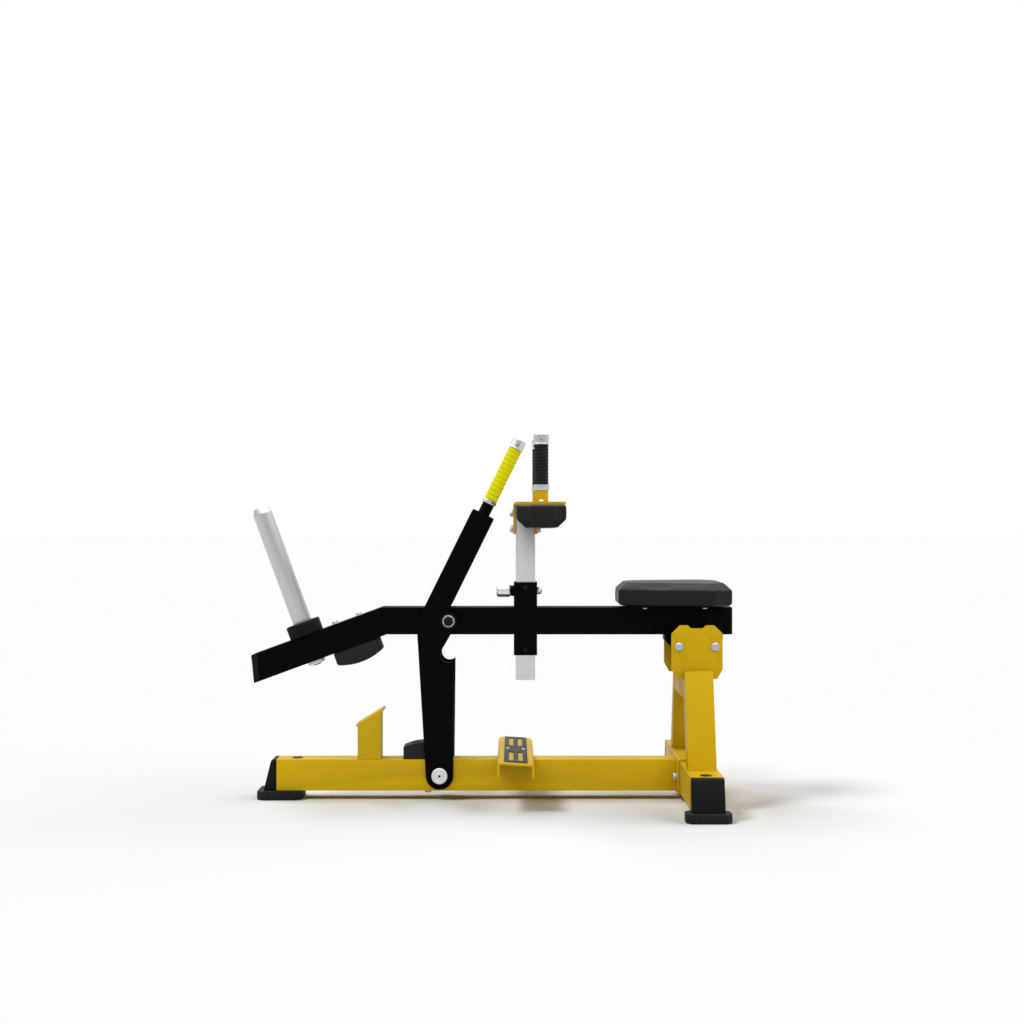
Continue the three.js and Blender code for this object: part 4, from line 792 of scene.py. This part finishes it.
bumperBlock("arm_bumper", (0, 0, bumperPlan["armFoot"]), (0, 0, -1), "frame")
bumperBlock("lever_bumper", slopeAt(0, bumperPlan["leverFoot"]), slopeUp, "lever")
armBumperAt = centreOf("arm_bumper")
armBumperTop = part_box("arm_bumper")[1].z
for k, side in enumerate((-1, 1)):
    lean = side * math.asin(bumperPlan["spread"] / 2 / bumperPlan["arc"])
    outward = Vector((math.sin(lean), 0, math.cos(lean)))
    arcCentre = Vector((armBumperAt.x, 0, armBumperTop - bumperPlan["arc"]))
    # each well is a shallow dish in the darker collar rubber: painted shade stands in for the hollow of the
    # bolt recess
    turnedPiece(f"arm_bumper_painted_shade_well_{k}", bumperPlan["well"], outward,
                arcCentre + outward * bumperPlan["arc"], "frame", "collarRubber", (), 32, 0.0002)
    boltSeat = slopeAt(bumperPlan["leverAlong"] + side * bumperPlan["spread"] / 2, 2 * hair)
    leverBolt = placed(hexHead(**bumperPlan["leverBolt"]), slopeUp, boltSeat, bumperPlan["boltTurns"][k])
    makePiece(f"lever_bumper_bolt_{k}", leverBolt, "lever", "brightZinc", ("lever_bumper",))
armBolt = placed(hexHead(**bumperPlan["armBolt"]), (0, 0, -1), (armBumperAt.x, 0, baseLow.z - gap))
makePiece("arm_bumper_bolt", armBolt, "frame", "boltSteel", ("arm_bumper",))
topScrew = placed(roundHead(**bumperPlan["topScrew"]), slopeUp, slopeAt(bumperPlan["topScrewAlong"], 0.0))
makePiece("slope_top_screw", topScrew, "lever", "boltSteel")
print("horn and bumpers ready")

# bearings cut at the pivot plates' outer faces, their bolts, and the shaft
bearingPlan = {
    "edge": 0.0009, "boltSpread": 0.091, "bolt": {"diameter": 0.0240, "height": 0.0070},
    "shaftEnd": [(0.0, 0.0), (0.0105, 0.0), (0.0125, 0.0018)],
}
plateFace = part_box("pivot_plate_far")[1].y
for where, side in sides.items():
    name = "pivot_bearing_" + where
    bm = mergedCopy(name)
    cutPast(bm, (0, side * (plateFace - hair), 0), (0, side, 0))
    bevelEdges(bm, sharpEdges(bm, 40.0), bearingPlan["edge"], 2)
    makePiece(name + "_cast", bm, "frame", "blackPaint", (name,))
    for k, end in enumerate((-1, 1)):
        boltSeat = (pivotAt.x + end * bearingPlan["boltSpread"] / 2, side * (plateFace + hair), pivotAt.z)
        makePiece(f"{name}_bolt_{k}", placed(roundHead(**bearingPlan["bolt"]), (0, side, 0), boltSeat),
                  "frame", "boltSteel", (name,))
low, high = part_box("pivot_shaft")
turnedPiece("pivot_shaft_turned", mirroredProfile(bearingPlan["shaftEnd"], high.y - low.y), (0, 1, 0),
            (pivotAt.x, low.y, pivotAt.z), "lever", "boltSteel", ("pivot_shaft",), 40, 0.0003)

# catch axle with its ringed end discs, their spacers and the dark centres
axlePlan = {
    "half": 0.0486, "centreInset": 0.0004,
    "end": [(0.0, 0.0022), (0.0018, 0.0022), (0.0022, 0.0006), (0.0085, 0.0004), (0.0090, 0.0012),
            (0.0122, 0.0012), (0.0127, 0.0004), (0.0192, 0.0), (0.0205, 0.0010), (0.0205, 0.0040),
            (0.0126, 0.0041), (0.0126, 0.0109), (0.0250, 0.0110), (0.0250, 0.0183), (0.0125, 0.0184)],
    "centre": [(0.0, -0.0010), (0.0032, -0.0010), (0.0032, 0.0003), (0.0024, 0.0004), (0.0020, -0.0004),
               (0.0, -0.0004)],
}
turnedPiece("catch_axle_turned", mirroredProfile(axlePlan["end"], 2 * axlePlan["half"]), (0, 1, 0),
            (axleAt.x, -axlePlan["half"], axleAt.z), "frame", "discSilver", ("catch_axle",), 56, 0.0003)
for where, side in sides.items():
    turnedPiece("catch_axle_centre_" + where, axlePlan["centre"], (0, side, 0),
                (axleAt.x, side * (axlePlan["half"] - axlePlan["centreInset"]), axleAt.z),
                "frame", "darkBolt", (), 24, 0.0001)

# roller: two discs on a sleeve with bright rims, and the socket-headed bolt through it
rollerPlan = {
    "side": [(0.0088, 0.0032), (0.0130, 0.0032), (0.0205, 0.0033), (0.0205, 0.0100), (0.0140, 0.0102)],
    "rim": [(0.0088, 0.0030), (0.0088, 0.0012), (0.0132, 0.0010), (0.0137, 0.0), (0.0148, 0.0),
            (0.0152, 0.0005), (0.0154, 0.0030), (0.0088, 0.0030)],
    "head": {"flats": 0.0224, "height": 0.0068, "bore": 0.0100, "depth": 0.004}, "headTurn": 12.0,
    "boltRadius": 0.008,
}
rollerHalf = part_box("catch_roller")[1].y
rollerFoot = (rollerAt.x, -rollerHalf, rollerAt.z)
turnedPiece("catch_roller_turned",
            mirroredProfile(rollerPlan["side"], 2 * rollerHalf) + [rollerPlan["side"][0]],
            (0, 1, 0), rollerFoot, "catch_roller", "rollerBlack", ("catch_roller",), 48, 0.0003)
boltParts = []
for where, side in sides.items():
    turnedPiece("catch_roller_rim_" + where, rollerPlan["rim"], (0, -side, 0),
                (rollerAt.x, side * rollerHalf, rollerAt.z), "catch_roller", "brightZinc", (), 48, 0.0002)
    boltParts.append(placed(hexHead(**rollerPlan["head"]), (0, side, 0),
                            (rollerAt.x, side * (rollerHalf + gap), rollerAt.z), rollerPlan["headTurn"]))
boltParts.append(placed(rodMesh(rollerPlan["boltRadius"], 2 * rollerHalf, 24), (0, 1, 0), rollerFoot))
makePiece("catch_bolt_socketed", joinMeshes(boltParts), "catch_roller", "darkBolt", ("catch_bolt",))

# pull knob: a chrome barrel with the pin behind it
knobPlan = {
    "barrel": [(0.0, 0.0009), (0.0105, 0.0), (0.0140, 0.0012), (0.0162, 0.0042), (0.0165, 0.0060),
               (0.0165, 0.0340), (0.0150, 0.0352), (0.0130, 0.0358)],
    "barrelLength": 0.0358, "pinRadius": 0.0060,
}
low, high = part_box("pull_knob")
pinProfile = [(knobPlan["pinRadius"], knobPlan["barrelLength"]), (knobPlan["pinRadius"], high.x - low.x),
              (0.0, high.x - low.x)]
turnedPiece("pull_knob_turned", knobPlan["barrel"] + pinProfile, (1, 0, 0), (low.x, 0, knobAt.z),
            "pull_pin", "knobChrome", ("pull_knob",), 56, 0.0004)

# acorn nut on the clamping boss, on the far side of the sleeve from the knob
acornProfile = [(0.0, 0.0003), (0.0096, 0.0003), (0.0096, 0.0056), (0.0090, 0.0086), (0.0072, 0.0114),
                (0.0040, 0.0131), (0.0, 0.0136)]
turnedPiece("clamp_acorn_turned", acornProfile, (1, 0, 0), (postX + sleeveHalf, 0, knobAt.z),
            "lever", "boltChrome", (), 40, 0.0003)
print("pivots and pins ready")

# bolts with hexagon heads on washers, and the small round screws
boltPlan = {
    "saddle": {"flats": 0.019, "height": 0.0072, "washer": 0.0245, "washerThick": 0.0018},
    "saddleReach": 0.009, "saddleTurn": 10.0,
    "bracket": {"flats": 0.018, "height": 0.0064, "washer": 0.0225, "washerThick": 0.0016},
    "bracketReach": 0.008, "bracketTurn": 4.0, "shaftInset": 0.0085, "shaftRadius": 0.006,
    "padTop": {"diameter": 0.013, "height": 0.0055}, "padTopAcross": 0.177,
    "sleeve": {"diameter": 0.010, "height": 0.0025, "drive": 0.004}, "sleeveInset": 0.013,
    "sleeveUpper": 0.545,
}
for where in sides:
    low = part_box("saddle_bolt_" + where)[0]
    middle = centreOf("saddle_bolt_" + where)
    seat = (low.x + boltPlan["saddleReach"], middle.y, middle.z)
    makePiece(f"saddle_bolt_{where}_headed",
              placed(hexHead(**boltPlan["saddle"]), (-1, 0, 0), seat, boltPlan["saddleTurn"]),
              "frame", "boltSteel", ("saddle_bolt_" + where,))
for level in ("upper", "lower"):
    low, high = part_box("bracket_bolt_" + level)
    middle = (low + high) / 2
    boltParts = [placed(hexHead(**boltPlan["bracket"]), (end, 0, 0),
                        (face - end * boltPlan["bracketReach"], middle.y, middle.z),
                        boltPlan["bracketTurn"])
                 for end, face in ((-1, low.x), (1, high.x))]
    shaftLength = high.x - low.x - 2 * boltPlan["shaftInset"]
    boltParts.append(placed(rodMesh(boltPlan["shaftRadius"], shaftLength, 20), (1, 0, 0),
                            (low.x + boltPlan["shaftInset"], middle.y, middle.z)))
    makePiece(f"bracket_bolt_{level}_headed", joinMeshes(boltParts), "pad_slide", "boltSteel",
              ("bracket_bolt_" + level,))
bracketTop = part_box("pad_bracket")[1].z
sleeveScrewLevels = (("upper", boltPlan["sleeveUpper"]),
                     ("lower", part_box("lower_sleeve")[0].z + boltPlan["sleeveInset"]))
for k, side in enumerate((-1, 1)):
    seat = (centreOf("pad_handle_near").x, side * boltPlan["padTopAcross"], bracketTop)
    makePiece(f"pad_top_bolt_{k}", placed(roundHead(**boltPlan["padTop"]), (0, 0, 1), seat),
              "pad_slide", "boltChrome")
    for level, height in sleeveScrewLevels:
        screw = placed(roundHead(**boltPlan["sleeve"]), (0, side, 0), (postX, side * sleeveHalf, height))
        makePiece(f"sleeve_screw_{level}_{k}", screw, "lever", "darkBolt")

# plugs over the holes through which the foot bolts are reached
plugPlan = {
    "profile": [(0.0, 0.0012), (0.0100, 0.0012), (0.0136, 0.0009), (0.0145, 0.0), (0.0120, 0.0),
                (0.0118, -0.006), (0.0, -0.006)],
    "fromFront": 0.050, "across": 0.253,
}
crossX = centreOf("cross_member").x
plugPlaces = {
    "base_plug": (baseLow.x + plugPlan["fromFront"], 0, baseHigh.z),
    "cross_plug_near": (crossX, -plugPlan["across"], baseHigh.z),
    "cross_plug_far": (crossX, plugPlan["across"], baseHigh.z),
}
for name, place in plugPlaces.items():
    turnedPiece(name, plugPlan["profile"], (0, 0, 1), place, "frame", "capPlastic", (), 40, 0.0004)
print("bolts and plugs ready")

# tread: a rubber mat with four windows, and two countersunk screws
treadPlan = {
    "edge": 0.0005, "tilt": 3.6, "screwSpread": 0.041, "screwLift": 0.0012,
    "screw": {"diameter": 0.009, "height": 0.0016, "drive": 0.0035},
}
bm = mergedCopy("foot_tread")
bevelEdges(bm, sharpEdges(bm, 40.0), treadPlan["edge"], 2)
makePiece("foot_tread_moulded", bm, "frame", "treadRubber", ("foot_tread",))
treadTilt = math.radians(treadPlan["tilt"])
treadUp = Vector((math.sin(treadTilt), 0, math.cos(treadTilt)))
treadAlong = Vector((math.cos(treadTilt), 0, -math.sin(treadTilt)))
for k, side in enumerate((-1, 1)):
    reach = side * treadPlan["screwSpread"] / 2
    seat = centreOf("foot_tread") + treadAlong * reach + treadUp * treadPlan["screwLift"]
    makePiece(f"tread_screw_{k}", placed(roundHead(**treadPlan["screw"]), treadUp, seat),
              "frame", "boltSteel")

# seat board cut free of its bolts, and the four heads under its bracket
boardPlan = {
    "boltAlong": (-0.1275, 0.025), "boltAcross": (-0.045, 0.045),
    "bolt": {"diameter": 0.014, "height": 0.005},
}
bm = mergedCopy("seat_board")
cutPast(bm, (0, 0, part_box("seat_pad")[0].z - hair), (0, 0, -1))
makePiece("seat_board_panel", bm, "lever", "boardPaint", ("seat_board",))
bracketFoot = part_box("seat_bracket")[0].z
boltSeats = [(pivotAt.x + along, across, bracketFoot)
             for along in boardPlan["boltAlong"] for across in boardPlan["boltAcross"]]
for k, seat in enumerate(boltSeats):
    makePiece(f"seat_board_bolt_{k}", placed(roundHead(**boardPlan["bolt"]), (0, 0, -1), seat),
              "lever", "boltSteel", ("seat_board",))
print("tread and seat board ready")

# upholstery: each pad is remeshed, swollen a little as cloth, and held where it rests on its board
clothPlan = {
    "depth": 6, "scale": 0.95, "heldWithin": 0.011, "quality": 5, "mass": 0.3, "stiffness": 25,
    "bending": 3, "frames": 20, "fill": 0.75,
}
# the seat rests on the board under it, and the thigh pads hang under their bracket
padPlans = {
    "seat_pad": {"body": "lever", "pressure": 0.6, "cap": 0.0006, "heldAtTop": False},
    "thigh_pad_near": {"body": "pad_slide", "pressure": 0.9, "cap": 0.0008, "heldAtTop": True},
    "thigh_pad_far": {"body": "pad_slide", "pressure": 0.9, "cap": 0.0008, "heldAtTop": True},
}


def evaluatedMesh(holder):
    graph = bpy.context.evaluated_depsgraph_get()
    return bpy.data.meshes.new_from_object(holder.evaluated_get(graph), depsgraph=graph)


def swellAsCloth(holder, plan, restHeight):
    start = [v.co.copy() for v in holder.data.vertices]
    resting = [v.index for v in holder.data.vertices
               if abs(v.co.z - restHeight) < clothPlan["heldWithin"]]
    held = holder.vertex_groups.new(name="held")
    held.add(resting, 1.0, "REPLACE")
    cloth = holder.modifiers.new("swell", "CLOTH")
    cloth.settings.quality = clothPlan["quality"]
    cloth.settings.mass = clothPlan["mass"]
    cloth.settings.tension_stiffness = clothPlan["stiffness"]
    cloth.settings.compression_stiffness = clothPlan["stiffness"]
    cloth.settings.bending_stiffness = clothPlan["bending"]
    cloth.settings.use_pressure = True
    cloth.settings.uniform_pressure_force = plan["pressure"]
    cloth.settings.vertex_group_mass = "held"
    cloth.settings.effector_weights.gravity = 0.0
    for number in range(1, clothPlan["frames"] + 1):
        scene.frame_set(number)
    swollen = evaluatedMesh(holder)
    holder.modifiers.remove(cloth)
    for vertex, before in zip(swollen.vertices, start):
        step = vertex.co - before
        if step.length > plan["cap"]:
            vertex.co = before + step.normalized() * plan["cap"]
    scene.frame_set(1)
    return swollen


def makePad(name, plan):
    bm = weldedCopy(name)
    mesh = bpy.data.meshes.new(name + "_form")
    bm.to_mesh(mesh)
    bm.free()
    holder = bpy.data.objects.new(name + "_form", mesh)
    scene.collection.objects.link(holder)
    remesh = holder.modifiers.new("remesh", "REMESH")
    remesh.mode = "SHARP"
    remesh.octree_depth = clothPlan["depth"]
    remesh.scale = clothPlan["scale"]
    even = evaluatedMesh(holder)
    holder.modifiers.clear()
    holder.data = even
    low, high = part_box(name)
    restHeight = high.z if plan["heldAtTop"] else low.z
    result = swellAsCloth(holder, plan, restHeight)
    padded = holdPiece(name + "_upholstered", result.copy(), plan["body"], "upholstery", (name,), 180.0)
    bpy.data.objects.remove(holder)
    soften = padded.modifiers.new("soften", "SUBSURF")
    soften.levels = 1
    soften.render_levels = 1


for name, plan in padPlans.items():
    makePad(name, plan)
print("upholstery ready")
